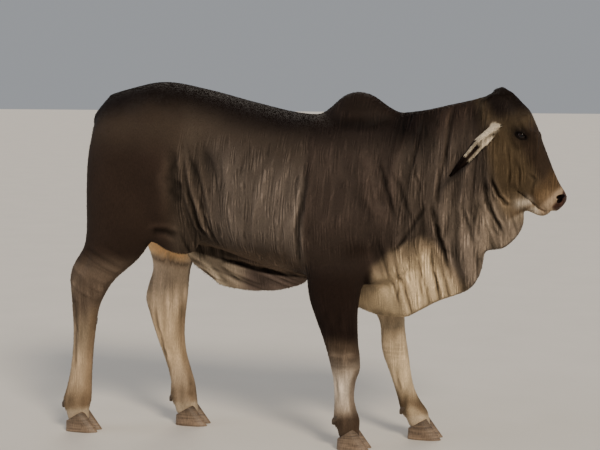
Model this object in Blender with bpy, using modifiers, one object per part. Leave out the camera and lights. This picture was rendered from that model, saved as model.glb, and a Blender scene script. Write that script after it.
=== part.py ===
"""Brahman cattle, life size, standing in a short step, as a still model.

Metres, +Z up, +X towards the head, +Y to the animal's left. The animal stands with its soles
at z = 0. The flesh is modelled whole from lofts and muscles, fused and smoothed, and then parted
into named pieces by thin cuts seen from the side. Horn, eyes, ears and tail are pieces of
their own that sit in sockets of the flesh.
"""

import math

import bmesh
import bpy
import numpy as np
from mathutils import Matrix, Vector

# Driving sizes, metres
GAP = 0.0003
FRAME_SHIFT = -0.102
VOXEL = 0.0085
RELAXING_PASSES = 14
FIRST_PASS_TRIANGLES = 14500
FLESH_TRIANGLES = 5300
HEAD_REGION = (0.79, 0.90)
EYE_RADIUS = 0.0205
LID_THICKNESS = 0.0055
EAR_THICKNESS = 0.007
EAR_SOCKET_GAP = 0.0013
CLAW_GAP = 0.006
SIDES = {"right": -1, "left": 1}

# The head's own frame: its axis runs from the poll to the muzzle, 60 degrees below level
HEAD_ORIGIN = (0.80, 1.346)
HEAD_ANGLE = math.radians(-60)

COATS = {
    "dark": ("2B2422", 0.62),
    "flank": ("3A322D", 0.62),
    "pale": ("6E6254", 0.66),
    "shank": ("5C5146", 0.64),
    "muzzle": ("8A7158", 0.55),
    "eye": ("120D0B", 0.12),
    "hoof": ("4A4038", 0.5),
    "switch": ("1D1817", 0.7),
}


def linear(code):
    """The linear value of each channel of an sRGB hex colour."""
    channels = np.array([int(code[i : i + 2], 16) for i in (0, 2, 4)]) / 255
    return np.where(channels <= 0.04045, channels / 12.92, ((channels + 0.055) / 1.055) ** 2.4)


def principled(name, coat):
    """A Principled BSDF with the coat's colour and roughness."""
    code, roughness = COATS[coat]
    material = bpy.data.materials.new(name)
    material.use_nodes = True
    shader = material.node_tree.nodes["Principled BSDF"]
    shader.inputs["Base Color"].default_value = (*linear(code), 1)
    shader.inputs["Roughness"].default_value = roughness
    shader.inputs["Metallic"].default_value = 0
    return material


def smooth_through(at, known, values):
    """Values on a cubic curve through the known ones that never overshoots them."""
    known = np.asarray(known, float)
    values = np.asarray(values, float)
    step = np.diff(known)
    slope = np.diff(values) / step
    tangent = np.concatenate([slope[:1], slope[:-1] + slope[1:], slope[-1:]])
    same_way = slope[:-1] * slope[1:] > 0
    both = np.where(same_way, slope[:-1] + slope[1:], 1.0)
    tangent[1:-1] = np.where(same_way, 2 * slope[:-1] * slope[1:] / both, 0.0)
    span = np.clip(np.searchsorted(known, at, side="right") - 1, 0, len(step) - 1)
    t = (at - known[span]) / step[span]
    rise = values[span] * (1 + 2 * t) * (1 - t) ** 2 + values[span + 1] * t * t * (3 - 2 * t)
    return rise + step[span] * (tangent[span] * t * (1 - t) ** 2 - tangent[span + 1] * t * t * (1 - t))


def new_object(name, mesh):
    obj = bpy.data.objects.new(name, mesh)
    bpy.context.scene.collection.objects.link(obj)
    return obj


def object_from(bm, name):
    """A mesh object of this bmesh, with its faces pointing out."""
    bmesh.ops.recalc_face_normals(bm, faces=bm.faces)
    mesh = bpy.data.meshes.new(name)
    bm.to_mesh(mesh)
    bm.free()
    return new_object(name, mesh)


def skin_rings(rings, name):
    """Joins rings of equally many points into a closed tube with a fan at each end."""
    bm = bmesh.new()
    rows = [[bm.verts.new(point) for point in ring] for ring in rings]
    count = len(rows[0])
    for row, following in zip(rows[:-1], rows[1:]):
        for i in range(count):
            j = (i + 1) % count
            bm.faces.new((row[i], row[j], following[j], following[i]))
    for row in (rows[0], rows[-1]):
        middle = bm.verts.new(sum((v.co for v in row), Vector()) / count)
        for i in range(count):
            bm.faces.new((row[i], row[(i + 1) % count], middle))
    return object_from(bm, name)


def section(low, high, wide, centre, lean, full, sides):
    """A ring between low and high, fuller than an ellipse by full, wider towards high by lean."""
    turn = np.linspace(0, 2 * np.pi, sides, endpoint=False)
    up = np.sign(np.cos(turn)) * np.abs(np.cos(turn)) ** (2 / full)
    out = np.sign(np.sin(turn)) * np.abs(np.sin(turn)) ** (2 / full)
    return (low + high) / 2 + (high - low) / 2 * up, centre + wide * (1 + lean * up) * out


def loft(name, stations, origin=(0, 0), angle=0.0, blunt=(0, 0), lean=0.0, full=2.3, sides=28, step=0.02):
    """Sections across an axis in the side view, smoothly joined.

    Each station is its place along the axis, the section's low and high reach across the axis,
    its half width and its middle's y. The axis starts at origin and points along angle; the
    section rounds off over the blunt length at each end.
    """
    table = np.array(stations, float).T
    first, last = table[0, 0], table[0, -1]
    count = max(6, int((last - first) / step))
    along = first + (last - first) * (1 - np.cos(np.linspace(0, np.pi, count))) / 2
    low, high, wide, centre = [smooth_through(along, table[0], row) for row in table[1:5]]
    round_off = np.ones(count)
    for length, distance in zip(blunt, (along - first, last - along)):
        if length:
            near = np.clip(1 - distance / length, 0, 1)
            round_off *= np.sqrt(np.clip(1 - near**2, 0.02, 1))
    leans = smooth_through(along, table[0], np.broadcast_to(lean, table[0].shape))
    ahead = np.array([math.cos(angle), math.sin(angle)])
    across = np.array([-math.sin(angle), math.cos(angle)])
    rings = []
    for i in range(count):
        middle = (low[i] + high[i]) / 2
        half = (high[i] - low[i]) / 2 * round_off[i]
        reach, y = section(
            middle - half, middle + half, wide[i] * round_off[i], centre[i], leans[i], full, sides
        )
        flat = np.array(origin) + along[i] * ahead + np.outer(reach, across)
        rings.append(np.column_stack([flat[:, 0], y, flat[:, 1]]))
    return skin_rings(rings, name)


def muscle(name, centre, radii, lean=0.0):
    """An ellipsoid of flesh, leaning in the side view by an angle in degrees."""
    bm = bmesh.new()
    place = Matrix.Translation(centre) @ Matrix.Rotation(math.radians(-lean), 4, "Y")
    bmesh.ops.create_uvsphere(
        bm, u_segments=20, v_segments=12, radius=1, matrix=place @ Matrix.Diagonal((*radii, 1))
    )
    return object_from(bm, name)


def head_point(along, up, y=0.0):
    """A point given along the head's axis and up from it towards the brow."""
    ahead = Vector((math.cos(HEAD_ANGLE), 0, math.sin(HEAD_ANGLE)))
    across = Vector((-math.sin(HEAD_ANGLE), 0, math.cos(HEAD_ANGLE)))
    return Vector((HEAD_ORIGIN[0], y, HEAD_ORIGIN[1])) + along * ahead + up * across


def apply_modifier(obj, kind, **settings):
    modifier = obj.modifiers.new(kind.lower(), kind)
    for key, value in settings.items():
        setattr(modifier, key, value)
    graph = bpy.context.evaluated_depsgraph_get()
    mesh = bpy.data.meshes.new_from_object(obj.evaluated_get(graph), depsgraph=graph)
    obj.modifiers.clear()
    old = obj.data
    obj.data = mesh
    bpy.data.meshes.remove(old)


def discard(obj):
    mesh = obj.data
    bpy.data.objects.remove(obj)
    bpy.data.meshes.remove(mesh)


def copy_of(obj, name):
    return new_object(name, obj.data.copy())


def keep_largest(obj):
    """Leaves only the closed surface with the largest volume."""
    bm = bmesh.new()
    bm.from_mesh(obj.data)
    bmesh.ops.remove_doubles(bm, verts=bm.verts, dist=1e-6)
    bmesh.ops.triangulate(bm, faces=bm.faces)
    unseen = set(bm.faces)
    bodies = []
    while unseen:
        body = {unseen.pop()}
        edge_of_body = list(body)
        while edge_of_body:
            face = edge_of_body.pop()
            for edge in face.edges:
                for other in edge.link_faces:
                    if other in unseen:
                        unseen.discard(other)
                        body.add(other)
                        edge_of_body.append(other)
        volume = sum(
            face.verts[0].co.dot(face.verts[1].co.cross(face.verts[2].co)) / 6 for face in body
        )
        bodies.append((volume, len(bodies), body))
    largest = max(bodies)[2]
    scraps = [face for face in bm.faces if face not in largest]
    bmesh.ops.delete(bm, geom=scraps, context="FACES")
    bm.to_mesh(obj.data)
    bm.free()


def cut(obj, cutter, operation, solver="EXACT"):
    """One Boolean with another mesh object, applied."""
    apply_modifier(obj, "BOOLEAN", operation=operation, object=cutter, solver=solver)
    keep_largest(obj)


def prism(name, outline, low_y, high_y, grow=0.0):
    """A side-view outline carried straight across from low_y to high_y, grown on every face."""
    points = np.array(outline, float)
    before = points - np.roll(points, 1, axis=0)
    after = np.roll(points, -1, axis=0) - points
    area = np.sum(points[:, 0] * np.roll(points[:, 1], -1) - points[:, 1] * np.roll(points[:, 0], -1))
    turn = -1 if area > 0 else 1

    def outward(edge):
        return turn * np.column_stack([-edge[:, 1], edge[:, 0]]) / np.linalg.norm(edge, axis=1)[:, None]

    one, two = outward(before), outward(after)
    mitre = (one + two) / (1 + np.sum(one * two, axis=1))[:, None]
    points = points + grow * mitre
    bm = bmesh.new()
    near = [bm.verts.new((x, low_y - grow, z)) for x, z in points]
    far = [bm.verts.new((x, high_y + grow, z)) for x, z in points]
    bm.faces.new(near)
    bm.faces.new(far[::-1])
    for i in range(len(near)):
        j = (i + 1) % len(near)
        bm.faces.new((near[i], near[j], far[j], far[i]))
    bmesh.ops.triangulate(bm, faces=bm.faces)
    return object_from(bm, name)


def part_off(body, name, outline, low_y=-1.0, high_y=1.0):
    """Takes the piece of body inside the outline off it, with the gap between them."""
    piece = copy_of(body, name)
    cell = prism(name + "_cell", outline, low_y, high_y)
    cut(piece, cell, "INTERSECT")
    discard(cell)
    cell = prism(name + "_cell", outline, low_y, high_y, GAP)
    cut(body, cell, "DIFFERENCE")
    discard(cell)
    return piece


def seat(host, piece, grow=GAP):
    """Cuts a socket in host where piece enters it, one gap wider than piece."""
    socket = copy_of(piece, "socket")
    apply_modifier(socket, "DISPLACE", strength=grow, mid_level=0)
    cut(host, socket, "DIFFERENCE")
    discard(socket)


# Trunk: hips high, back dipping towards the hump, deep chest

def trunk():
    forms = [
        loft(
            "trunk",
            [
                (-0.764, 1.000, 1.215, 0.110, 0),
                (-0.700, 0.850, 1.334, 0.180, 0),
                (-0.600, 0.790, 1.366, 0.222, 0),
                (-0.480, 0.765, 1.389, 0.245, 0),
                (-0.300, 0.750, 1.359, 0.234, 0),
                (-0.100, 0.695, 1.308, 0.258, 0),
                (0.100, 0.648, 1.268, 0.262, 0),
                (0.250, 0.622, 1.262, 0.242, 0),
                (0.400, 0.615, 1.262, 0.205, 0),
                (0.520, 0.660, 1.250, 0.160, 0),
                (0.600, 0.760, 1.180, 0.110, 0),
            ],
            blunt=(0.05, 0.05),
            lean=(-0.05, -0.08, -0.12, -0.16, -0.18, -0.2, -0.22, -0.28, -0.3, -0.2, -0.1),
            full=2.4,
            sides=40,
        ),
        muscle("tail_head", (-0.662, 0, 1.312), (0.062, 0.038, 0.028), -22),
    ]
    for side in SIDES.values():
        forms += [
            muscle("shoulder", (0.330, side * 0.112, 0.925), (0.175, 0.088, 0.270), 14),
            muscle("arm", (0.410, side * 0.128, 0.815), (0.120, 0.066, 0.155), -35),
            muscle("hook_bone", (-0.465, side * 0.136, 1.245), (0.130, 0.072, 0.080), -8),
            muscle("pin_bone", (-0.695, side * 0.085, 1.230), (0.055, 0.050, 0.065), 20),
            muscle("flank_fold", (-0.405, side * 0.180, 0.820), (0.145, 0.034, 0.080), -28),
        ]
    return forms


def hump():
    return [
        loft(
            "hump",
            [
                (0.135, 1.14, 1.262, 0.050, 0),
                (0.180, 1.14, 1.286, 0.070, 0),
                (0.219, 1.14, 1.321, 0.083, 0),
                (0.258, 1.14, 1.347, 0.092, 0),
                (0.300, 1.14, 1.355, 0.096, 0),
                (0.343, 1.14, 1.347, 0.094, 0),
                (0.382, 1.14, 1.325, 0.086, 0),
                (0.421, 1.14, 1.296, 0.074, 0),
                (0.470, 1.14, 1.272, 0.060, 0),
            ],
            lean=-0.3,
            full=2.2,
            step=0.012,
        )
    ]


def neck():
    return [
        loft(
            "neck",
            [
                (0.300, 0.700, 1.250, 0.200, 0),
                (0.460, 0.700, 1.274, 0.168, 0),
                (0.550, 0.735, 1.286, 0.138, 0),
                (0.650, 0.800, 1.308, 0.114, 0),
                (0.750, 0.875, 1.330, 0.099, 0),
                (0.830, 0.935, 1.345, 0.090, 0),
                (0.900, 1.000, 1.335, 0.078, 0),
            ],
            lean=-0.3,
            full=2.2,
            sides=32,
        )
    ]


def dewlap():
    return [
        loft(
            "brisket",
            [
                (0.240, 0.560, 0.760, 0.070, 0),
                (0.300, 0.523, 0.780, 0.082, 0),
                (0.400, 0.494, 0.800, 0.085, 0),
                (0.485, 0.492, 0.820, 0.080, 0),
                (0.540, 0.518, 0.830, 0.074, 0),
                (0.620, 0.559, 0.840, 0.064, 0),
                (0.710, 0.594, 0.850, 0.054, 0),
                (0.748, 0.618, 0.840, 0.046, 0),
                (0.772, 0.660, 0.815, 0.036, 0),
                (0.788, 0.700, 0.795, 0.028, 0),
            ],
            blunt=(0.03, 0.014),
            lean=0.30,
            full=2.5,
        ),
        loft(
            "throat",
            [
                (0.560, 0.660, 0.930, 0.078, 0),
                (0.660, 0.702, 0.960, 0.070, 0),
                (0.742, 0.746, 1.000, 0.060, 0),
                (0.800, 0.758, 1.000, 0.055, 0),
                (0.848, 0.762, 0.990, 0.049, 0),
                (0.878, 0.780, 0.972, 0.044, 0),
                (0.904, 0.806, 0.950, 0.038, 0),
                (0.926, 0.832, 0.925, 0.030, 0),
                (0.936, 0.848, 0.905, 0.022, 0),
            ],
            blunt=(0, 0.02),
            lean=0.25,
            full=2.4,
        ),
    ]


def head():
    """The skull, cheeks and muzzle, in the head's frame."""
    forms = [
        loft(
            "skull",
            [
                (-0.001, -0.050, 0.038, 0.040, 0),
                (0.026, -0.080, 0.066, 0.064, 0),
                (0.077, -0.115, 0.083, 0.084, 0),
                (0.134, -0.135, 0.097, 0.094, 0),
                (0.199, -0.146, 0.091, 0.094, 0),
                (0.246, -0.146, 0.083, 0.084, 0),
                (0.296, -0.134, 0.076, 0.074, 0),
                (0.367, -0.098, 0.066, 0.064, 0),
                (0.420, -0.066, 0.062, 0.060, 0),
                (0.450, -0.052, 0.064, 0.062, 0),
                (0.476, -0.040, 0.059, 0.060, 0),
                (0.500, -0.022, 0.041, 0.046, 0),
            ],
            origin=HEAD_ORIGIN,
            angle=HEAD_ANGLE,
            blunt=(0.012, 0.022),
            lean=(0.0, 0.0, 0.05, 0.08, 0.05, -0.05, -0.18, -0.22, -0.18, -0.1, 0.0, 0.0),
            full=2.45,
            step=0.012,
        ),
        loft(
            "mandible",
            [
                (0.235, -0.150, -0.080, 0.060, 0),
                (0.290, -0.154, -0.075, 0.060, 0),
                (0.345, -0.152, -0.070, 0.055, 0),
                (0.395, -0.146, -0.055, 0.048, 0),
                (0.422, -0.124, -0.050, 0.046, 0),
                (0.445, -0.096, -0.045, 0.044, 0),
                (0.475, -0.072, -0.036, 0.043, 0),
                (0.497, -0.054, -0.026, 0.036, 0),
            ],
            origin=HEAD_ORIGIN,
            angle=HEAD_ANGLE,
            blunt=(0.03, 0.016),
            lean=0.1,
            full=2.3,
            step=0.012,
        ),
    ]
    forms.append(muscle("poll", head_point(0.020, 0.030), (0.028, 0.036, 0.028), 0))
    for side in SIDES.values():
        forms += [
            muscle("cheek", head_point(0.215, -0.080, side * 0.066), (0.085, 0.030, 0.066), 60),
            muscle("cheekbone", head_point(0.255, 0.000, side * 0.062), (0.100, 0.026, 0.044), 60),
            muscle("brow", head_point(0.158, 0.042, side * 0.074), (0.054, 0.026, 0.030), 60),
            muscle("orbit", head_point(0.192, 0.028, side * 0.080), (0.054, 0.027, 0.038), 60),
            muscle("nostril_wing", head_point(0.468, 0.030, side * 0.040), (0.030, 0.022, 0.026), 60),
            muscle("ear_root", head_point(0.118, -0.040, side * 0.082), (0.036, 0.026, 0.032), 40),
        ]
    return forms


# Legs, each as z, rear edge, front edge, half width and y of its sections

FORE_NEAR = [
    (0.040, 0.256, 0.338, 0.042, -0.130),
    (0.072, 0.250, 0.337, 0.043, -0.130),
    (0.105, 0.236, 0.340, 0.042, -0.130),
    (0.140, 0.237, 0.329, 0.036, -0.130),
    (0.200, 0.238, 0.317, 0.031, -0.131),
    (0.260, 0.235, 0.324, 0.036, -0.132),
    (0.310, 0.226, 0.341, 0.046, -0.133),
    (0.355, 0.215, 0.339, 0.046, -0.134),
    (0.420, 0.196, 0.333, 0.044, -0.138),
    (0.500, 0.170, 0.332, 0.053, -0.146),
    (0.600, 0.142, 0.346, 0.066, -0.156),
    (0.700, 0.135, 0.380, 0.076, -0.160),
    (0.800, 0.160, 0.420, 0.070, -0.155),
]
FORE_FAR = [
    (0.040, 0.490, 0.576, 0.042, 0.092),
    (0.072, 0.477, 0.571, 0.043, 0.092),
    (0.105, 0.457, 0.564, 0.042, 0.092),
    (0.140, 0.446, 0.538, 0.036, 0.093),
    (0.200, 0.426, 0.508, 0.031, 0.095),
    (0.270, 0.401, 0.492, 0.038, 0.100),
    (0.320, 0.381, 0.484, 0.046, 0.105),
    (0.370, 0.371, 0.475, 0.045, 0.110),
    (0.430, 0.368, 0.466, 0.044, 0.116),
    (0.500, 0.337, 0.462, 0.053, 0.128),
    (0.600, 0.270, 0.462, 0.066, 0.144),
    (0.700, 0.215, 0.462, 0.076, 0.156),
    (0.800, 0.200, 0.450, 0.070, 0.155),
]
HIND_NEAR = [
    (0.040, -0.856, -0.766, 0.042, -0.130),
    (0.075, -0.862, -0.770, 0.044, -0.130),
    (0.120, -0.872, -0.757, 0.046, -0.132),
    (0.170, -0.858, -0.752, 0.041, -0.135),
    (0.230, -0.842, -0.748, 0.037, -0.138),
    (0.330, -0.824, -0.738, 0.036, -0.142),
    (0.430, -0.817, -0.723, 0.039, -0.146),
    (0.500, -0.818, -0.709, 0.045, -0.150),
    (0.560, -0.822, -0.678, 0.048, -0.152),
    (0.620, -0.828, -0.632, 0.049, -0.154),
    (0.665, -0.816, -0.578, 0.054, -0.156),
    (0.710, -0.788, -0.528, 0.064, -0.158),
    (0.760, -0.757, -0.492, 0.082, -0.160),
    (0.840, -0.748, -0.455, 0.100, -0.156),
    (0.940, -0.750, -0.435, 0.110, -0.148),
    (1.050, -0.750, -0.435, 0.112, -0.138),
    (1.170, -0.738, -0.450, 0.100, -0.125),
    (1.260, -0.710, -0.490, 0.080, -0.115),
]
HIND_FAR = [
    (0.040, -0.468, -0.374, 0.042, 0.072),
    (0.075, -0.476, -0.378, 0.044, 0.072),
    (0.120, -0.492, -0.383, 0.046, 0.073),
    (0.165, -0.492, -0.389, 0.040, 0.075),
    (0.230, -0.508, -0.408, 0.036, 0.078),
    (0.300, -0.533, -0.428, 0.036, 0.082),
    (0.380, -0.565, -0.436, 0.039, 0.088),
    (0.450, -0.589, -0.433, 0.044, 0.096),
    (0.510, -0.607, -0.428, 0.048, 0.104),
    (0.570, -0.596, -0.424, 0.052, 0.112),
    (0.630, -0.580, -0.420, 0.060, 0.122),
    (0.700, -0.600, -0.390, 0.076, 0.136),
    (0.780, -0.650, -0.370, 0.092, 0.148),
    (0.860, -0.690, -0.375, 0.104, 0.152),
    (0.960, -0.720, -0.400, 0.110, 0.148),
    (1.060, -0.738, -0.425, 0.112, 0.138),
    (1.170, -0.735, -0.450, 0.100, 0.125),
    (1.260, -0.710, -0.490, 0.080, 0.115),
]
LEGS = {
    "right_fore": FORE_NEAR,
    "left_fore": FORE_FAR,
    "right_hind": HIND_NEAR,
    "left_hind": HIND_FAR,
}

# Each foot as the x of its heel and toe and the y of its middle
FEET = {
    "right_fore": (0.254, 0.380, -0.130),
    "left_fore": (0.487, 0.620, 0.092),
    "right_hind": (-0.856, -0.722, -0.130),
    "left_hind": (-0.464, -0.330, 0.072),
}
CORONET_HEEL = 0.040
CORONET_TOE = 0.080
CLAW_HALF_WIDTH = 0.0235
DEWCLAW_Z = 0.108
DEWCLAW_APART = 0.022
DEWCLAW_RADII = [0.0125, 0.0120, 0.0060]


def leg(name, stations):
    """A leg as horizontal sections; the loft's axis points up, so its reach runs backwards."""
    return loft(
        name,
        [(z, -front, -rear, wide, y) for z, rear, front, wide, y in stations],
        angle=math.radians(90),
        full=2.3,
        sides=24,
        step=0.022,
    )


def sheath():
    return [
        loft(
            "sheath",
            [
                (-0.400, 0.690, 0.780, 0.030, 0),
                (-0.330, 0.632, 0.780, 0.034, 0),
                (-0.230, 0.574, 0.760, 0.038, 0),
                (-0.140, 0.566, 0.730, 0.040, 0),
                (-0.050, 0.567, 0.710, 0.042, 0),
                (0.030, 0.582, 0.690, 0.044, 0),
                (0.110, 0.610, 0.680, 0.040, 0),
            ],
            blunt=(0.02, 0.02),
            lean=0.45,
            full=2.1,
        )
    ]


def fused(forms, name, voxel, smoothing):
    """Shells that overlap, made one skin on a voxel grid and relaxed."""
    bm = bmesh.new()
    for form in forms:
        bm.from_mesh(form.data)
        discard(form)
    mesh = bpy.data.meshes.new(name)
    bm.to_mesh(mesh)
    bm.free()
    body = new_object(name, mesh)
    apply_modifier(body, "REMESH", mode="VOXEL", voxel_size=voxel)
    apply_modifier(body, "SMOOTH", factor=0.5, iterations=smoothing)
    keep_largest(body)
    return body


def thin_out(body, first_pass, triangles):
    """Fewer triangles: a light pass all over, then a strong one that spares the head."""
    apply_modifier(body, "DECIMATE", ratio=first_pass / (2 * len(body.data.polygons)))
    group = body.vertex_groups.new(name="head")
    points = np.empty(len(body.data.vertices) * 3)
    body.data.vertices.foreach_get("co", points)
    points = points.reshape(-1, 3)
    spared = np.flatnonzero((points[:, 0] > HEAD_REGION[0]) & (points[:, 2] > HEAD_REGION[1]))
    group.add([int(i) for i in spared], 1.0, "REPLACE")
    apply_modifier(
        body,
        "DECIMATE",
        ratio=triangles / len(body.data.polygons),
        vertex_group=group.name,
        invert_vertex_group=True,
    )
    body.vertex_groups.clear()
    keep_largest(body)


# Outlines of the pieces in the side view, in the order in which they are parted

MOUTH_LINE = [(0.894, 0.979), (0.925, 0.964), (0.953, 0.948), (0.985, 0.929), (1.012, 0.914)]
JAW_OUTLINE = [
    (0.7765, 1.054),
    (0.792, 1.058),
    *MOUTH_LINE,
    (1.120, 0.874),
    (1.120, 0.840),
    (0.930, 0.908),
    (0.886, 0.926),
    (0.846, 0.966),
    (0.799, 1.012),
]
HEAD_OUTLINE = [
    (0.790, 1.500),
    (0.800, 1.220),
    (0.775, 1.056),
    (0.800, 1.020),
    (0.900, 0.950),
    (1.000, 0.880),
    (1.200, 0.850),
    (1.200, 1.500),
]
HUMP_OUTLINE = [(0.100, 1.264), (0.300, 1.235), (0.455, 1.262), (0.455, 1.500), (0.100, 1.500)]
BRISKET_OUTLINE = [
    (0.230, 0.625),
    (0.400, 0.635),
    (0.500, 0.680),
    (0.560, 0.765),
    (0.700, 0.740),
    (0.820, 0.735),
    (0.820, 0.400),
    (0.230, 0.400),
]
DEWLAP_OUTLINE = [
    (0.560, 0.765),
    (0.660, 0.835),
    (0.735, 0.920),
    (0.770, 1.060),
    (1.050, 1.060),
    (1.050, 0.600),
    (0.820, 0.600),
    (0.820, 0.735),
    (0.700, 0.740),
]
NECK_OUTLINE = [
    (0.455, 1.500),
    (0.500, 1.100),
    (0.530, 0.900),
    (0.560, 0.765),
    (0.900, 0.765),
    (0.900, 1.500),
]
SHEATH_OUTLINE = [
    (-0.430, 0.715),
    (-0.300, 0.700),
    (-0.100, 0.672),
    (0.050, 0.640),
    (0.135, 0.630),
    (0.135, 0.500),
    (-0.430, 0.500),
]
FORE_TOP = 0.655
HIND_TOP = 0.930
UNDER = -0.050
LEG_OUTLINES = {
    "right_fore": [(0.050, FORE_TOP), (0.480, FORE_TOP), (0.480, UNDER), (0.050, UNDER)],
    "left_fore": [(0.150, FORE_TOP), (0.520, FORE_TOP), (0.700, UNDER), (0.250, UNDER)],
    "right_hind": [
        (-0.950, HIND_TOP),
        (-0.600, 0.900),
        (-0.430, 0.800),
        (-0.430, 0.680),
        (-0.600, 0.400),
        (-0.600, UNDER),
        (-0.950, UNDER),
    ],
    "left_hind": [
        (-0.950, HIND_TOP),
        (-0.580, 0.900),
        (-0.345, 0.800),
        (-0.330, 0.690),
        (-0.370, 0.600),
        (-0.300, UNDER),
        (-0.950, UNDER),
    ],
}
LEG_INNER_Y = {"right_fore": 0.070, "left_fore": 0.070, "right_hind": 0.030, "left_hind": 0.030}
CANNON_TOP = {"right_fore": 0.335, "left_fore": 0.345, "right_hind": 0.540, "left_hind": 0.440}


def side_of(name):
    return SIDES[name.split("_")[0]]


def across(name, inner, outer=0.6):
    """The low and high y of a cell on the named side."""
    side = side_of(name)
    return sorted((side * inner, side * outer))


def tube(name, path, radii, sides, rings, beside=(0, 1, 0)):
    """Round sections along a smooth path, each square to it and turned to face beside."""
    known = np.linspace(0, 1, len(path))
    at = np.linspace(0, 1, rings)
    line = np.column_stack([smooth_through(at, known, column) for column in np.array(path, float).T])
    radius = smooth_through(at, known, radii)
    way = np.gradient(line, axis=0)
    way /= np.linalg.norm(way, axis=1)[:, None]
    out = np.array(beside) - way * (way @ np.array(beside))[:, None]
    out /= np.linalg.norm(out, axis=1)[:, None]
    third = np.cross(way, out)
    turn = np.linspace(0, 2 * np.pi, sides, endpoint=False)
    return skin_rings(
        [
            line[i] + radius[i] * (np.outer(np.cos(turn), third[i]) + np.outer(np.sin(turn), out[i]))
            for i in range(len(at))
        ],
        name,
    )


NOSTRIL_HOLLOWS = [
    ((0.454, 0.040), (0.010, 0.014, 0.014)),
    ((0.470, 0.030), (0.008, 0.012, 0.010)),
]
NOSTRIL_LEAN = 25
NOSTRIL_AHEAD = 0.3
MOUTH_RADIUS = 0.0045
NOSTRIL_SUNK = 0.002


def carve_mouth(body):
    """A groove round the muzzle along the mouth line, found on the body's own surface."""
    right = []
    for x, z in MOUTH_LINE:
        found, point, _, _ = body.ray_cast((x, 0, z), (0, -1, 0))
        if found:
            right.append(point.copy())
    x, z = MOUTH_LINE[-1]
    _, front, _, _ = body.ray_cast((x, 0, z - 0.006), (1, 0, -0.25))
    left = [Vector((point.x, -point.y, point.z)) for point in right]
    path = right + [front] + left[::-1]
    groove = tube("mouth", path, [MOUTH_RADIUS] * len(path), 6, 25, beside=(0, 0, 1))
    cut(body, groove, "DIFFERENCE")
    discard(groove)


def carve_nostrils(head_piece):
    """Two overlapping hollows a side, sunk from the muzzle's own surface, make a comma."""
    for side in SIDES.values():
        way = Vector((NOSTRIL_AHEAD, side, 0)).normalized()
        for (along, up), radii in NOSTRIL_HOLLOWS:
            _, point, _, _ = head_piece.ray_cast(head_point(along, up, side * 0.010), way)
            hole = muscle("nostril", point - way * NOSTRIL_SUNK, radii, NOSTRIL_LEAN)
            cut(head_piece, hole, "DIFFERENCE")
            discard(hole)


EYE_ALONG = 0.192
EYE_UP = 0.031
EYE_OUT = 0.0815
EYE_SLANT = math.radians(-25)
EYE_HALF_LENGTH = 0.0195
EYE_HALF_HEIGHT = 0.0115


def ball(name, centre, radius, rings=12):
    bm = bmesh.new()
    turned = Matrix.Translation(centre) @ Matrix.Rotation(math.radians(90), 4, "X")
    bmesh.ops.create_uvsphere(bm, u_segments=2 * rings, v_segments=rings, radius=radius, matrix=turned)
    return object_from(bm, name)


def eye_and_lids(head_piece, name):
    """Lids swell over the eyeball and part in an almond, and the eyeball sits in its socket."""
    side = side_of(name.replace("eye_", "") + "_")
    centre = head_point(EYE_ALONG, EYE_UP, side * EYE_OUT)
    lids = ball("lids", centre, EYE_RADIUS + LID_THICKNESS)
    cut(head_piece, lids, "UNION")
    discard(lids)
    turn = np.linspace(0, np.pi, 7)
    along = EYE_HALF_LENGTH * np.cos(turn)
    rise = EYE_HALF_HEIGHT * np.sin(turn) ** 1.3
    almond = np.concatenate([np.column_stack([along, rise]), np.column_stack([along, -rise])[-2:0:-1]])
    slant = np.array(
        [[math.cos(EYE_SLANT), math.sin(EYE_SLANT)], [-math.sin(EYE_SLANT), math.cos(EYE_SLANT)]]
    )
    outline = almond @ slant + np.array([centre.x, centre.z])
    low, high = sorted((side * (EYE_OUT + 0.002), side * 0.2))
    opening = prism("opening", outline, low, high)
    cut(head_piece, opening, "DIFFERENCE")
    discard(opening)
    eye = ball(name, centre, EYE_RADIUS, 8)
    socket = ball("socket", centre, EYE_RADIUS + GAP, 8)
    cut(head_piece, socket, "DIFFERENCE")
    discard(socket)
    return eye


EAR_PATH = [
    (0.858, 0.062, 1.242),
    (0.836, 0.098, 1.219),
    (0.801, 0.142, 1.168),
    (0.756, 0.170, 1.109),
    (0.686, 0.187, 1.052),
]
EAR_STATIONS = [
    # place along, curl radius, half angle of the curl in degrees, share of the cup's full depth
    (0.00, 0.019, 125, 0.0),
    (0.12, 0.019, 125, 0.0),
    (0.22, 0.021, 118, 0.8),
    (0.40, 0.031, 90, 1.0),
    (0.60, 0.041, 68, 1.0),
    (0.78, 0.036, 62, 1.0),
    (0.92, 0.022, 60, 0.6),
    (1.00, 0.006, 60, 0.0),
]
EAR_OPENS = (0.70, 0.34, -0.62)


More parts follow.
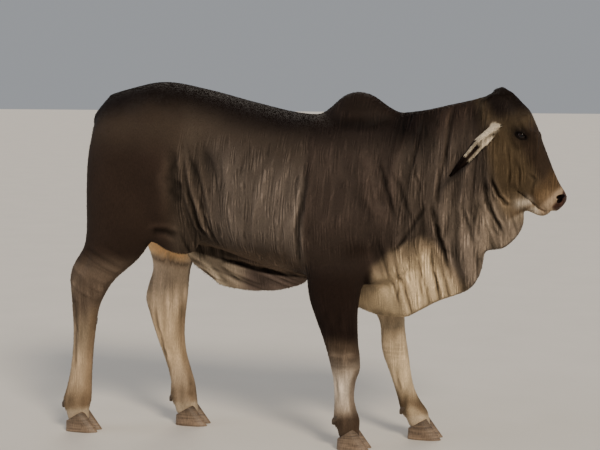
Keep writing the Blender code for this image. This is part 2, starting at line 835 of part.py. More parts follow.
def ear(name, side):
    """A hanging leaf curled along its length into a cup that opens outwards and forwards."""
    place, radius, half_angle, depth = np.array(EAR_STATIONS).T
    at = np.linspace(0, 1, 13)
    known = np.linspace(0, 1, len(EAR_PATH))
    line = np.column_stack([smooth_through(at, known, column) for column in np.array(EAR_PATH).T])
    radius = smooth_through(at, place, radius)
    half_angle = np.radians(smooth_through(at, place, half_angle))
    depth = smooth_through(at, place, depth)
    way = np.gradient(line, axis=0)
    way /= np.linalg.norm(way, axis=1)[:, None]
    opens = np.array(EAR_OPENS) - way * (way @ np.array(EAR_OPENS))[:, None]
    opens /= np.linalg.norm(opens, axis=1)[:, None]
    beside = np.cross(way, opens)
    rings = []
    for i in range(len(at)):
        turn = np.linspace(-half_angle[i], half_angle[i], 9)
        outer = radius[i] * (-np.outer(np.cos(turn), opens[i]) + np.outer(np.sin(turn), beside[i]))
        chord = np.linspace(outer[0], outer[-1], 9)
        inner = outer * (1 - EAR_THICKNESS / max(radius[i], EAR_THICKNESS * 1.4))
        inside = chord + depth[i] * (inner - chord)
        rings.append(line[i] + np.concatenate([outer, inside[-2:0:-1]]))
    rings = [ring * np.array([1, side, 1]) for ring in rings]
    return skin_rings(rings, name)


TAIL_PATH = [
    (-0.650, 0.000, 1.308),
    (-0.704, 0.000, 1.290),
    (-0.744, 0.002, 1.244),
    (-0.772, 0.004, 1.170),
    (-0.788, 0.007, 1.020),
    (-0.794, 0.010, 0.860),
    (-0.808, 0.013, 0.720),
    (-0.820, 0.015, 0.620),
]
TAIL_RADII = [0.022, 0.026, 0.025, 0.023, 0.019, 0.016, 0.014, 0.013]
SWITCH_TIP_Z = 0.335
SWITCH_TOP = 0.055
SWITCH_LOCKS = 12
SWITCH_TIERS = 3
TIER_ROOT_DROP = 0.065
TIER_TIP_RISE = 0.045
TIP_SCATTER = 0.035
FIRST_TIER_SPREAD = 0.020
TIER_SPREAD = 0.010
LOCK_TURN = 2.4
LOCK_HALF_WIDTH = 0.014
LOCK_THICKNESS = 0.009
LOCK_RINGS = 5


def lock(name, path, half_width, thickness, facing):
    """A flat lock that tapers to its tip; facing is the way its flat side looks."""
    at = np.linspace(0, 1, LOCK_RINGS)
    known = np.linspace(0, 1, len(path))
    line = np.column_stack([smooth_through(at, known, column) for column in np.array(path).T])
    way = np.gradient(line, axis=0)
    way /= np.linalg.norm(way, axis=1)[:, None]
    out = facing - way * (way @ facing)[:, None]
    out /= np.linalg.norm(out, axis=1)[:, None]
    wide = np.cross(way, out)
    taper = np.sqrt(1 - at**1.6 * 0.985)
    rings = []
    for i in range(len(at)):
        w = half_width * taper[i]
        t = thickness / 2 * (0.35 + 0.65 * taper[i])
        rings.append([line[i] + w * wide[i], line[i] + t * out[i], line[i] - w * wide[i], line[i] - t * out[i]])
    return skin_rings(rings, name)


def tail_switch():
    """The tuft that ends the tail: flat locks in three tiers round a narrow core."""
    x, y, z = TAIL_PATH[-1]
    top = z + SWITCH_TOP
    core = tube(
        "tail_switch",
        [(x - 0.002, y, top), (x, y + 0.001, z - 0.02), (x + 0.004, y + 0.002, z - 0.12), (x + 0.008, y, z - 0.21)],
        [0.017, 0.020, 0.016, 0.005],
        sides=6,
        rings=6,
    )
    chance = np.random.default_rng(7)
    locks = bpy.data.collections.new("locks")
    bpy.context.scene.collection.children.link(locks)
    for i in range(SWITCH_LOCKS):
        tier = i % SWITCH_TIERS
        angle = LOCK_TURN * i + chance.uniform(-0.2, 0.2)
        away = np.array([math.cos(angle), math.sin(angle), 0])
        start = z + 0.03 - TIER_ROOT_DROP * tier
        end = SWITCH_TIP_Z + (SWITCH_TIERS - 1 - tier) * TIER_TIP_RISE + chance.uniform(0, TIP_SCATTER)
        spread = FIRST_TIER_SPREAD + TIER_SPREAD * tier + chance.uniform(0, 0.008)
        middle = np.array([x, y, 0])
        path = [
            middle + away * 0.010 + (0, 0, start + 0.012),
            middle + away * 0.021 + (0, 0, start - 0.03),
            middle + away * spread + (0, 0, (start + end) / 2),
            middle + away * (spread * 0.55) + (0.008, 0, end),
        ]
        piece = lock("lock", path, LOCK_HALF_WIDTH + chance.uniform(-0.002, 0.003), LOCK_THICKNESS, away)
        bpy.context.scene.collection.objects.unlink(piece)
        locks.objects.link(piece)
    apply_modifier(
        core, "BOOLEAN", operation="UNION", operand_type="COLLECTION", collection=locks, solver="EXACT"
    )
    for piece in list(locks.objects):
        discard(piece)
    bpy.data.collections.remove(locks)
    keep_largest(core)
    return core


def coronet(name):
    """The side-view outline under the line where the hair ends and the horn begins."""
    heel, toe, _ = FEET[name]
    slope = (CORONET_TOE - CORONET_HEEL) / (toe - heel)
    behind, ahead = heel - 0.08, toe + 0.06
    return [
        (behind, CORONET_HEEL + slope * (behind - heel)),
        (ahead, CORONET_HEEL + slope * (ahead - heel)),
        (ahead, -0.2),
        (behind, -0.2),
    ]


def claw(name, foot, outwards):
    """One toe of horn: a flat sole, a wall that leans back to the coronet, and a rounded heel."""
    heel, toe, middle = FEET[foot]
    y = middle + outwards * (CLAW_HALF_WIDTH + CLAW_GAP / 2)
    stations = [
        (0.000, -toe, -heel, CLAW_HALF_WIDTH, y),
        (0.020, -toe + 0.014, -heel - 0.001, CLAW_HALF_WIDTH, y),
        (0.050, -toe + 0.036, -heel - 0.003, CLAW_HALF_WIDTH - 0.0006, y),
        (0.100, -toe + 0.074, -heel - 0.006, CLAW_HALF_WIDTH - 0.0018, y),
    ]
    horn = loft(name, stations, angle=math.radians(90), full=2.5, sides=14, step=0.016)
    above = coronet(foot)
    cell = prism("under_coronet", above, -1, 1, -GAP)
    cut(horn, cell, "INTERSECT")
    discard(cell)
    return horn


def dewclaw(name, foot, outwards):
    """A blunt horn behind the fetlock, pointing down and back."""
    rows = np.array(LEGS[foot])
    z = DEWCLAW_Z
    rear = smooth_through(np.array([z]), rows[:, 0], rows[:, 1])[0]
    y = FEET[foot][2] + outwards * DEWCLAW_APART
    return tube(
        name,
        [(rear + 0.014, y, z + 0.012), (rear - 0.001, y, z + 0.003), (rear - 0.008, y, z - 0.016)],
        DEWCLAW_RADII,
        sides=8,
        rings=5,
    )


def clear_scene():
    for obj in list(bpy.data.objects):
        bpy.data.objects.remove(obj)


def build():
    clear_scene()
    forms = trunk() + hump() + neck() + dewlap() + head() + sheath()
    forms += [leg(name, stations) for name, stations in LEGS.items()]
    flesh = fused(forms, "torso", VOXEL, RELAXING_PASSES)
    thin_out(flesh, FIRST_PASS_TRIANGLES, FLESH_TRIANGLES)
    carve_mouth(flesh)
    pieces = {"torso": (flesh, "flank")}
    for name in LEGS:
        whole_leg = part_off(flesh, name + "_leg", LEG_OUTLINES[name], *across(name, LEG_INNER_Y[name]))
        for outwards, label in ((1, "left"), (-1, "right")):
            horn = dewclaw(f"{name}_dewclaw_{label}", name, outwards)
            seat(whole_leg, horn)
            pieces[horn.name] = (horn, "hoof")
            horn = claw(f"{name}_claw_{label}", name, outwards)
            pieces[horn.name] = (horn, "hoof")
        ground = prism("ground", coronet(name), -1, 1)
        cut(whole_leg, ground, "DIFFERENCE")
        discard(ground)
        heel, toe, _ = FEET[name]
        top = CANNON_TOP[name]
        below = [(heel - 0.5, top), (toe + 0.5, top), (toe + 0.5, UNDER), (heel - 0.5, UNDER)]
        pieces[name + "_cannon"] = (part_off(whole_leg, name + "_cannon", below), "shank")
        pieces[name + "_leg"] = (whole_leg, "dark" if name.startswith("right") else "shank")
    pieces["lower_jaw"] = (part_off(flesh, "lower_jaw", JAW_OUTLINE), "muzzle")
    head_piece = part_off(flesh, "head", HEAD_OUTLINE)
    pieces["head"] = (head_piece, "dark")
    pieces["hump"] = (part_off(flesh, "hump", HUMP_OUTLINE), "dark")
    pieces["brisket"] = (part_off(flesh, "brisket", BRISKET_OUTLINE), "pale")
    pieces["dewlap"] = (part_off(flesh, "dewlap", DEWLAP_OUTLINE), "pale")
    pieces["neck"] = (part_off(flesh, "neck", NECK_OUTLINE), "flank")
    pieces["sheath"] = (part_off(flesh, "sheath", SHEATH_OUTLINE, -0.08, 0.08), "pale")
    for label, side in SIDES.items():
        pieces["eye_" + label] = (eye_and_lids(head_piece, "eye_" + label), "eye")
        hanging = ear("ear_" + label, side)
        seat(head_piece, hanging, EAR_SOCKET_GAP)
        pieces["ear_" + label] = (hanging, "dark")
    carve_nostrils(head_piece)
    switch = tail_switch()
    tail = tube("tail", TAIL_PATH, TAIL_RADII, sides=8, rings=15)
    seat(switch, tail)
    seat(flesh, tail)
    pieces["tail"] = (tail, "dark")
    pieces["tail_switch"] = (switch, "switch")

    animal = bpy.data.collections.new("brahman_cattle")
    bpy.context.scene.collection.children.link(animal)
    for name, (piece, coat) in pieces.items():
        piece.name = name
        piece.data.transform(Matrix.Translation((FRAME_SHIFT, 0, 0)))
        piece.data.materials.clear()
        piece.data.materials.append(principled(name + "_coat", coat))
        piece.data.shade_smooth()
        piece.data.set_sharp_from_angle(angle=math.radians(40))
        bpy.context.scene.collection.objects.unlink(piece)
        animal.objects.link(piece)


build()
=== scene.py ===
"""A life-size brahman standing in a short step, finished as a museum model.

Metres, +Z up, +X towards the head, +Y to the animal's left, soles at z = 0. The forms are
worked out in the animal's own measured frame and moved by FRAME_SHIFT when each is finished.
"""

import math

import bmesh
import bpy
import numpy as np
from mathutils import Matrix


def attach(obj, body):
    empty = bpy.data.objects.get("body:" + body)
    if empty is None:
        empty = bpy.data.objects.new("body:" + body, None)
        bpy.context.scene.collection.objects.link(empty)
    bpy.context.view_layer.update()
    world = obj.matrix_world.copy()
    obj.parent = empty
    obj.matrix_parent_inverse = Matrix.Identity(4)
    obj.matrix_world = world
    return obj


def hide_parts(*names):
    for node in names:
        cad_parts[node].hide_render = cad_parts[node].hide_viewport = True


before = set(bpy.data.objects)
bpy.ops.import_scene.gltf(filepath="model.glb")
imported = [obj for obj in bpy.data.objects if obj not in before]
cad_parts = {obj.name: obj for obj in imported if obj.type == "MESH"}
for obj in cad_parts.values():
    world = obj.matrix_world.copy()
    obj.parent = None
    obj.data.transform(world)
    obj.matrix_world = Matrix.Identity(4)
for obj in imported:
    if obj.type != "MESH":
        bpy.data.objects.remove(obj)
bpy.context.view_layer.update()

# The room: a pale matt floor, a dim even sky and three lights so broad that their shadows have no
# hard edge. The camera stands a little above the animal's back, and ahead of its right side.

CAMERA_PLACE = (1.318, -5.222, 1.44)
CAMERA_TURN = (83.60, 0.0, 14.5)
LENS = 84
FLOOR_HALF = 40.0
SKY = ("E6EAF0", 0.42)
LIGHTS = {
    # name: where it shines from, breadth in degrees, strength, colour
    "key": ((0.75, -1.0, 0.95), 16, 2.5, "FFEFD8"),
    "fill": ((-1.0, -0.35, 0.55), 40, 0.5, "F1F4FF"),
    "back": ((-0.3, 1.0, 0.9), 30, 0.7, "FFF3E2"),
}


def linear(code):
    """The linear colour of an sRGB hex code: each channel over 12.92 where dark, else a power of 2.4."""
    channels = np.array([int(code[i : i + 2], 16) for i in (0, 2, 4)]) / 255
    return np.where(channels <= 0.04045, channels / 12.92, ((channels + 0.055) / 1.055) ** 2.4)


def material(name, roughness, **sockets):
    """A new material's node tree and its Principled shader, with constant values set on the sockets."""
    made = bpy.data.materials.new(name)
    made.use_nodes = True
    shader = made.node_tree.nodes["Principled BSDF"]
    shader.inputs["Roughness"].default_value = roughness
    for socket, value in sockets.items():
        shader.inputs[socket.replace("_", " ")].default_value = value
    return made, made.node_tree, shader


def add_node(tree, kind, settings=None, **links):
    """One node of this kind, its settings made and its inputs linked to sockets or set to values."""
    node = tree.nodes.new(kind)
    for key, value in (settings or {}).items():
        setattr(node, key, value)
    for key, value in links.items():
        socket = node.inputs[int(key[1:])] if key[0] == "_" else node.inputs[key.replace("_", " ")]
        if isinstance(value, bpy.types.NodeSocket):
            tree.links.new(value, socket)
        else:
            socket.default_value = value
    return node


def mesh_piece(name, points, *faces, smooth=True):
    """A new object whose mesh has these points and arrays of faces, and no move of its own."""
    corners = np.concatenate([np.ravel(part) for part in faces]).astype(np.int32)
    sizes = np.concatenate([np.full(len(part), np.shape(part)[1]) for part in faces])
    mesh = bpy.data.meshes.new(name)
    mesh.vertices.add(len(points))
    mesh.vertices.foreach_set("co", np.ravel(points).astype(np.float32))
    mesh.loops.add(len(corners))
    mesh.loops.foreach_set("vertex_index", corners)
    mesh.polygons.add(len(sizes))
    mesh.polygons.foreach_set("loop_start", (np.cumsum(sizes) - sizes).astype(np.int32))
    mesh.update(calc_edges=True)
    if smooth:
        mesh.shade_smooth()
    piece = bpy.data.objects.new(name, mesh)
    bpy.context.scene.collection.objects.link(piece)
    return piece


camera = bpy.data.objects.new("camera", bpy.data.cameras.new("camera"))
camera.location = CAMERA_PLACE
camera.rotation_euler = [math.radians(angle) for angle in CAMERA_TURN]
camera.data.lens = LENS
camera.data.sensor_width = 36
bpy.context.scene.collection.objects.link(camera)
bpy.context.scene.camera = camera

floor_paint, floor_tree, floor_shader = material("matt_floor_paint", 0.85)
floor_place = add_node(floor_tree, "ShaderNodeTexCoord")
floor_grain = add_node(
    floor_tree, "ShaderNodeTexNoise", Vector=floor_place.outputs["Object"], Scale=3.0, Detail=3.0
)
floor_colour = add_node(
    floor_tree,
    "ShaderNodeMix",
    {"data_type": "RGBA"},
    Factor=floor_grain.outputs["Fac"],
    _6=(*linear("CFCBC4"), 1),
    _7=(*linear("D9D5CE"), 1),
)
floor_tree.links.new(floor_colour.outputs[2], floor_shader.inputs["Base Color"])
floor = mesh_piece(
    "floor",
    np.array([(-1, -1, 0), (1, -1, 0), (1, 1, 0), (-1, 1, 0)]) * FLOOR_HALF,
    np.array([(0, 1, 2, 3)]),
    smooth=False,
)
floor.data.materials.append(floor_paint)

sky = bpy.data.worlds.new("sky")
sky.use_nodes = True
sky.node_tree.nodes["Background"].inputs["Color"].default_value = (*linear(SKY[0]), 1)
sky.node_tree.nodes["Background"].inputs["Strength"].default_value = SKY[1]
bpy.context.scene.world = sky
for name, (way, breadth, strength, code) in LIGHTS.items():
    lamp = bpy.data.lights.new(name, "SUN")
    lamp.angle = math.radians(breadth)
    lamp.energy = strength
    lamp.color = linear(code)
    holder = bpy.data.objects.new(name, lamp)
    holder.location = np.array(way) * 5
    holder.rotation_euler = (
        math.atan2(math.hypot(way[0], way[1]), way[2]),
        0,
        math.atan2(way[1], way[0]) + math.pi / 2,
    )
    bpy.context.scene.collection.objects.link(holder)

# The hide's form: a museum model's hide is one skin drawn over the shaped body. It is worked out
# from lofts and muscles, in the same sizes as the solids, made one surface and then relaxed.

FRAME_SHIFT = np.array([-0.102, 0.0, 0.0])
HEAD_ORIGIN = (0.80, 1.346)
HEAD_ANGLE = math.radians(-60)
HEAD_AHEAD = np.array([math.cos(HEAD_ANGLE), 0, math.sin(HEAD_ANGLE)])
HEAD_UP = np.array([-math.sin(HEAD_ANGLE), 0, math.cos(HEAD_ANGLE)])
SIDES = {"right": -1, "left": 1}

TRUNK = [
    # place along, low, high, half width
    (-0.764, 1.000, 1.215, 0.110),
    (-0.700, 0.850, 1.334, 0.180),
    (-0.600, 0.790, 1.366, 0.222),
    (-0.480, 0.765, 1.389, 0.245),
    (-0.300, 0.750, 1.359, 0.234),
    (-0.100, 0.695, 1.308, 0.258),
    (0.100, 0.648, 1.268, 0.262),
    (0.250, 0.622, 1.262, 0.242),
    (0.400, 0.615, 1.262, 0.205),
    (0.520, 0.660, 1.250, 0.160),
    (0.600, 0.760, 1.180, 0.110),
]
TRUNK_LEAN = (-0.05, -0.08, -0.12, -0.16, -0.18, -0.2, -0.22, -0.28, -0.3, -0.2, -0.1)
HUMP = [
    (0.135, 1.14, 1.262, 0.050),
    (0.180, 1.14, 1.286, 0.070),
    (0.219, 1.14, 1.321, 0.083),
    (0.258, 1.14, 1.347, 0.092),
    (0.300, 1.14, 1.355, 0.096),
    (0.343, 1.14, 1.347, 0.094),
    (0.382, 1.14, 1.325, 0.086),
    (0.421, 1.14, 1.296, 0.074),
    (0.470, 1.14, 1.272, 0.060),
]
NECK = [
    (0.300, 0.700, 1.250, 0.200),
    (0.460, 0.700, 1.274, 0.168),
    (0.550, 0.735, 1.286, 0.138),
    (0.650, 0.800, 1.308, 0.114),
    (0.750, 0.875, 1.330, 0.099),
    (0.830, 0.935, 1.345, 0.090),
    (0.900, 1.000, 1.335, 0.078),
]
BRISKET = [
    (0.240, 0.560, 0.760, 0.070),
    (0.300, 0.523, 0.780, 0.082),
    (0.400, 0.494, 0.800, 0.085),
    (0.485, 0.492, 0.820, 0.080),
    (0.540, 0.518, 0.830, 0.074),
    (0.620, 0.559, 0.840, 0.064),
    (0.710, 0.594, 0.850, 0.054),
    (0.748, 0.618, 0.840, 0.046),
    (0.772, 0.660, 0.815, 0.036),
    (0.788, 0.700, 0.795, 0.028),
]
THROAT = [
    (0.560, 0.660, 0.930, 0.078),
    (0.660, 0.702, 0.960, 0.070),
    (0.742, 0.746, 1.000, 0.060),
    (0.800, 0.758, 1.000, 0.055),
    (0.848, 0.762, 0.990, 0.049),
    (0.878, 0.780, 0.972, 0.044),
    (0.904, 0.806, 0.950, 0.038),
    (0.926, 0.832, 0.925, 0.030),
    (0.936, 0.848, 0.905, 0.022),
]
SHEATH = [
    (-0.400, 0.690, 0.780, 0.030),
    (-0.330, 0.632, 0.780, 0.034),
    (-0.230, 0.574, 0.760, 0.038),
    (-0.140, 0.566, 0.730, 0.040),
    (-0.050, 0.567, 0.710, 0.042),
    (0.030, 0.582, 0.690, 0.044),
    (0.110, 0.610, 0.680, 0.040),
]
SKULL = [
    (-0.001, -0.050, 0.038, 0.040),
    (0.026, -0.080, 0.066, 0.064),
    (0.077, -0.115, 0.083, 0.084),
    (0.134, -0.135, 0.097, 0.094),
    (0.199, -0.146, 0.091, 0.094),
    (0.246, -0.146, 0.083, 0.084),
    (0.296, -0.134, 0.076, 0.074),
    (0.367, -0.098, 0.066, 0.064),
    (0.420, -0.066, 0.062, 0.060),
    (0.450, -0.052, 0.064, 0.062),
    (0.476, -0.040, 0.059, 0.060),
    (0.500, -0.022, 0.041, 0.046),
]
SKULL_LEAN = (0.0, 0.0, 0.05, 0.08, 0.05, -0.05, -0.18, -0.22, -0.18, -0.1, 0.0, 0.0)
MANDIBLE = [
    (0.235, -0.150, -0.080, 0.060),
    (0.290, -0.154, -0.075, 0.060),
    (0.345, -0.152, -0.070, 0.055),
    (0.395, -0.146, -0.055, 0.048),
    (0.422, -0.124, -0.050, 0.046),
    (0.445, -0.096, -0.045, 0.044),
    (0.475, -0.072, -0.036, 0.043),
    (0.497, -0.054, -0.026, 0.036),
]
LEGS = {
    # z, rear edge, front edge, half width, y of each section
    "right_fore": [
        (0.040, 0.256, 0.338, 0.042, -0.130),
        (0.072, 0.250, 0.337, 0.043, -0.130),
        (0.105, 0.236, 0.340, 0.042, -0.130),
        (0.140, 0.237, 0.329, 0.036, -0.130),
        (0.200, 0.238, 0.317, 0.031, -0.131),
        (0.260, 0.235, 0.324, 0.036, -0.132),
        (0.310, 0.226, 0.341, 0.046, -0.133),
        (0.355, 0.215, 0.339, 0.046, -0.134),
        (0.420, 0.196, 0.333, 0.044, -0.138),
        (0.500, 0.170, 0.332, 0.053, -0.146),
        (0.600, 0.142, 0.346, 0.066, -0.156),
        (0.700, 0.135, 0.380, 0.076, -0.160),
        (0.800, 0.160, 0.420, 0.070, -0.155),
    ],
    "left_fore": [
        (0.040, 0.490, 0.576, 0.042, 0.092),
        (0.072, 0.477, 0.571, 0.043, 0.092),
        (0.105, 0.457, 0.564, 0.042, 0.092),
        (0.140, 0.446, 0.538, 0.036, 0.093),
        (0.200, 0.426, 0.508, 0.031, 0.095),
        (0.270, 0.401, 0.492, 0.038, 0.100),
        (0.320, 0.381, 0.484, 0.046, 0.105),
        (0.370, 0.371, 0.475, 0.045, 0.110),
        (0.430, 0.368, 0.466, 0.044, 0.116),
        (0.500, 0.337, 0.462, 0.053, 0.128),
        (0.600, 0.270, 0.462, 0.066, 0.144),
        (0.700, 0.215, 0.462, 0.076, 0.156),
        (0.800, 0.200, 0.450, 0.070, 0.155),
    ],
    "right_hind": [
        (0.040, -0.856, -0.766, 0.042, -0.130),
        (0.075, -0.862, -0.770, 0.044, -0.130),
        (0.120, -0.872, -0.757, 0.046, -0.132),
        (0.170, -0.858, -0.752, 0.041, -0.135),
        (0.230, -0.842, -0.748, 0.037, -0.138),
        (0.330, -0.824, -0.738, 0.036, -0.142),
        (0.430, -0.817, -0.723, 0.039, -0.146),
        (0.500, -0.818, -0.709, 0.045, -0.150),
        (0.560, -0.822, -0.678, 0.048, -0.152),
        (0.620, -0.828, -0.632, 0.049, -0.154),
        (0.665, -0.816, -0.578, 0.054, -0.156),
        (0.710, -0.788, -0.528, 0.064, -0.158),
        (0.760, -0.757, -0.492, 0.082, -0.160),
        (0.840, -0.748, -0.455, 0.100, -0.156),
        (0.940, -0.750, -0.435, 0.110, -0.148),
        (1.050, -0.750, -0.435, 0.112, -0.138),
        (1.170, -0.738, -0.450, 0.100, -0.125),
        (1.260, -0.710, -0.490, 0.080, -0.115),
    ],
    "left_hind": [
        (0.040, -0.468, -0.374, 0.042, 0.072),
        (0.075, -0.476, -0.378, 0.044, 0.072),
        (0.120, -0.492, -0.383, 0.046, 0.073),
        (0.165, -0.492, -0.389, 0.040, 0.075),
        (0.230, -0.508, -0.408, 0.036, 0.078),
        (0.300, -0.533, -0.428, 0.036, 0.082),
        (0.380, -0.565, -0.436, 0.039, 0.088),
        (0.450, -0.589, -0.433, 0.044, 0.096),
        (0.510, -0.607, -0.428, 0.048, 0.104),
        (0.570, -0.596, -0.424, 0.052, 0.112),
        (0.630, -0.580, -0.420, 0.060, 0.122),
        (0.700, -0.600, -0.390, 0.076, 0.136),
        (0.780, -0.650, -0.370, 0.092, 0.148),
        (0.860, -0.690, -0.375, 0.104, 0.152),
        (0.960, -0.720, -0.400, 0.110, 0.148),
        (1.060, -0.738, -0.425, 0.112, 0.138),
        (1.170, -0.735, -0.450, 0.100, 0.125),
        (1.260, -0.710, -0.490, 0.080, 0.115),
    ],
}
TAIL_PATH = [
    (-0.650, 0.000, 1.308),
    (-0.704, 0.000, 1.290),
    (-0.744, 0.002, 1.244),
    (-0.772, 0.004, 1.170),
    (-0.788, 0.007, 1.020),
    (-0.794, 0.010, 0.860),
    (-0.808, 0.013, 0.720),
    (-0.820, 0.015, 0.620),
]
TAIL_RADII = [0.021, 0.025, 0.024, 0.022, 0.018, 0.015, 0.013, 0.011]


def head_point(along, up, y=0.0):
    """A point given along the head's axis, up from it towards the brow, and across."""
    return np.array([HEAD_ORIGIN[0], y, HEAD_ORIGIN[1]]) + along * HEAD_AHEAD + up * HEAD_UP


def smooth_through(at, known, values):
    """Values on a cubic through the known ones, its slopes the harmonic mean of those on either hand."""
    known = np.asarray(known, float)
    values = np.asarray(values, float)
    step = np.diff(known)
    slope = np.diff(values) / step
    tangent = np.concatenate([slope[:1], slope[:-1] + slope[1:], slope[-1:]])
    same_way = slope[:-1] * slope[1:] > 0
    both = np.where(same_way, slope[:-1] + slope[1:], 1.0)
    tangent[1:-1] = np.where(same_way, 2 * slope[:-1] * slope[1:] / both, 0.0)
    span = np.clip(np.searchsorted(known, at, side="right") - 1, 0, len(step) - 1)
    t = (at - known[span]) / step[span]
    rise = values[span] * (1 + 2 * t) * (1 - t) ** 2 + values[span + 1] * t * t * (3 - 2 * t)
    return rise + step[span] * (tangent[span] * t * (1 - t) ** 2 - tangent[span + 1] * t * t * (1 - t))


def squared_off(wave, full):
    """A sine or cosine with its size raised to the power of two over full, as in a superellipse."""
    return np.sign(wave) * np.abs(wave) ** (2 / full)


def unit(rows):
    """Each vector over its own length."""
    return rows / np.linalg.norm(rows, axis=-1, keepdims=True)


def loft(stations, origin=(0, 0), angle=0.0, blunt=(0, 0), lean=0.0, full=2.3, sides=40, step=0.012):
    """Rings across an axis in the side view: each a superellipse between its low and high reach.

    The half width grows by the lean share towards the high side, and both shrink as the root of
    one less the square of the way into each blunt end.
    """
    table = np.array([station if len(station) == 5 else (*station, 0.0) for station in stations]).T
    first, last = table[0, 0], table[0, -1]
    count = max(6, int((last - first) / step))
    along = first + (last - first) * (1 - np.cos(np.linspace(0, np.pi, count))) / 2
    low, high, wide, centre = (smooth_through(along, table[0], row) for row in table[1:5])
    leans = smooth_through(along, table[0], np.broadcast_to(lean, table[0].shape))
    round_off = np.ones(count)
    for length, distance in zip(blunt, (along - first, last - along)):
        if length:
            round_off *= np.sqrt(np.clip(1 - np.clip(1 - distance / length, 0, 1) ** 2, 0.02, 1))
    turn = np.linspace(0, 2 * np.pi, sides, endpoint=False)
    up, out = squared_off(np.cos(turn), full), squared_off(np.sin(turn), full)
    reach = ((low + high) / 2)[:, None] + ((high - low) / 2 * round_off)[:, None] * up
    y = centre[:, None] + (wide * round_off)[:, None] * (1 + leans[:, None] * up) * out
    x = origin[0] + along[:, None] * math.cos(angle) - reach * math.sin(angle)
    z = origin[1] + along[:, None] * math.sin(angle) + reach * math.cos(angle)
    return np.stack([x, y, z], -1)


def muscle(centre, radii, lean=0.0):
    """Rings of an ellipsoid, cosine along and sine across, leaning in the side view by an angle."""
    polar = np.linspace(0, np.pi, 18)[1:-1, None]
    turn = np.linspace(0, 2 * np.pi, 28, endpoint=False)
    x = radii[0] * np.cos(polar) + 0 * turn
    y = radii[1] * np.sin(polar) * np.cos(turn)
    z = radii[2] * np.sin(polar) * np.sin(turn)
    tilt = math.radians(lean)
    turned = [x * math.cos(tilt) - z * math.sin(tilt), y, x * math.sin(tilt) + z * math.cos(tilt)]
    return np.stack(turned, -1) + np.asarray(centre)


def tube(path, radii, sides, rings, beside=(0, 1, 0)):
    """Circles along a smooth path, each square to it and turned to face beside."""
    known = np.linspace(0, 1, len(path))
    at = np.linspace(0, 1, rings)
    line = np.column_stack([smooth_through(at, known, column) for column in np.array(path, float).T])
    radius = smooth_through(at, known, radii)[:, None, None]
    way = unit(np.gradient(line, axis=0))
    out = unit(np.array(beside) - way * (way @ np.array(beside))[:, None])
    third = np.cross(way, out)
    turn = np.linspace(0, 2 * np.pi, sides, endpoint=False)[None, :, None]
    return line[:, None] + radius * (np.cos(turn) * third[:, None] + np.sin(turn) * out[:, None])


def closed_shell(rings):
    """Points, quads and end fans of rings joined into a closed shell that faces outwards."""
    count, sides = rings.shape[:2]
    points = np.concatenate([rings.reshape(-1, 3), rings[[0, -1]].mean(1)])
    i = np.arange(count - 1)[:, None] * sides
    j = np.arange(sides)[None]
    k = (j + 1) % sides
    quads = np.stack([i + j, i + k, i + sides + k, i + sides + j], -1).reshape(-1, 4)
    middle = count * sides
    start = np.column_stack([k[0], j[0], np.full(sides, middle)])
    end = np.column_stack([middle - sides + j[0], middle - sides + k[0], np.full(sides, middle + 1)])
    fans = np.concatenate([start, end])
    corners = np.concatenate([points[quads[:, :3]], points[quads[:, [0, 2, 3]]], points[fans]])
    if np.linalg.det(corners - points.mean(0)).sum() < 0:
        quads, fans = quads[:, ::-1], fans[:, ::-1]
    return points, quads, fans


def joined(shells):
    """Several closed shells as one set of points, quads and triangles."""
    base = np.cumsum([0] + [len(points) for points, _, _ in shells])
    return (
        np.concatenate([points for points, _, _ in shells]),
        np.concatenate([quads + first for (_, quads, _), first in zip(shells, base)]),
        np.concatenate([fans + first for (_, _, fans), first in zip(shells, base)]),
    )


forms = [
    loft(TRUNK, blunt=(0.05, 0.05), lean=TRUNK_LEAN, full=2.4, sides=64),
    loft(HUMP, lean=-0.3, full=2.2),
    loft(NECK, lean=-0.3, full=2.2),
    loft(BRISKET, blunt=(0.03, 0.014), lean=0.30, full=2.5),
    loft(THROAT, blunt=(0, 0.02), lean=0.25, full=2.4),
    loft(SHEATH, blunt=(0.02, 0.02), lean=0.45, full=2.1),
    loft(SKULL, HEAD_ORIGIN, HEAD_ANGLE, blunt=(0.012, 0.022), lean=SKULL_LEAN, full=2.45, step=0.006),
    loft(MANDIBLE, HEAD_ORIGIN, HEAD_ANGLE, blunt=(0.03, 0.016), lean=0.1, step=0.006),
    muscle((-0.662, 0, 1.312), (0.062, 0.038, 0.028), -22),
    muscle(head_point(0.020, 0.030), (0.028, 0.036, 0.028), 0),
    tube(TAIL_PATH, TAIL_RADII, 20, 60),
]
for stations in LEGS.values():
    upright = [(z, -front, -rear, wide, y) for z, rear, front, wide, y in stations]
    forms.append(loft(upright, angle=math.radians(90), full=2.3, sides=32))
for side in SIDES.values():
    forms += [
        muscle((0.330, side * 0.112, 0.925), (0.175, 0.088, 0.270), 14),
        muscle((0.410, side * 0.128, 0.815), (0.120, 0.066, 0.155), -35),
        muscle((-0.465, side * 0.136, 1.245), (0.130, 0.072, 0.080), -8),
        muscle((-0.695, side * 0.085, 1.230), (0.055, 0.050, 0.065), 20),
        muscle((-0.405, side * 0.180, 0.820), (0.145, 0.034, 0.080), -28),
        muscle(head_point(0.215, -0.080, side * 0.066), (0.085, 0.030, 0.066), 60),
        muscle(head_point(0.255, 0.000, side * 0.062), (0.100, 0.026, 0.044), 60),
        muscle(head_point(0.158, 0.042, side * 0.074), (0.054, 0.026, 0.030), 60),
        muscle(head_point(0.192, 0.028, side * 0.080), (0.054, 0.027, 0.038), 60),
        muscle(head_point(0.468, 0.030, side * 0.040), (0.030, 0.022, 0.026), 60),
        muscle(head_point(0.118, -0.040, side * 0.082), (0.036, 0.026, 0.032), 40),
    ]

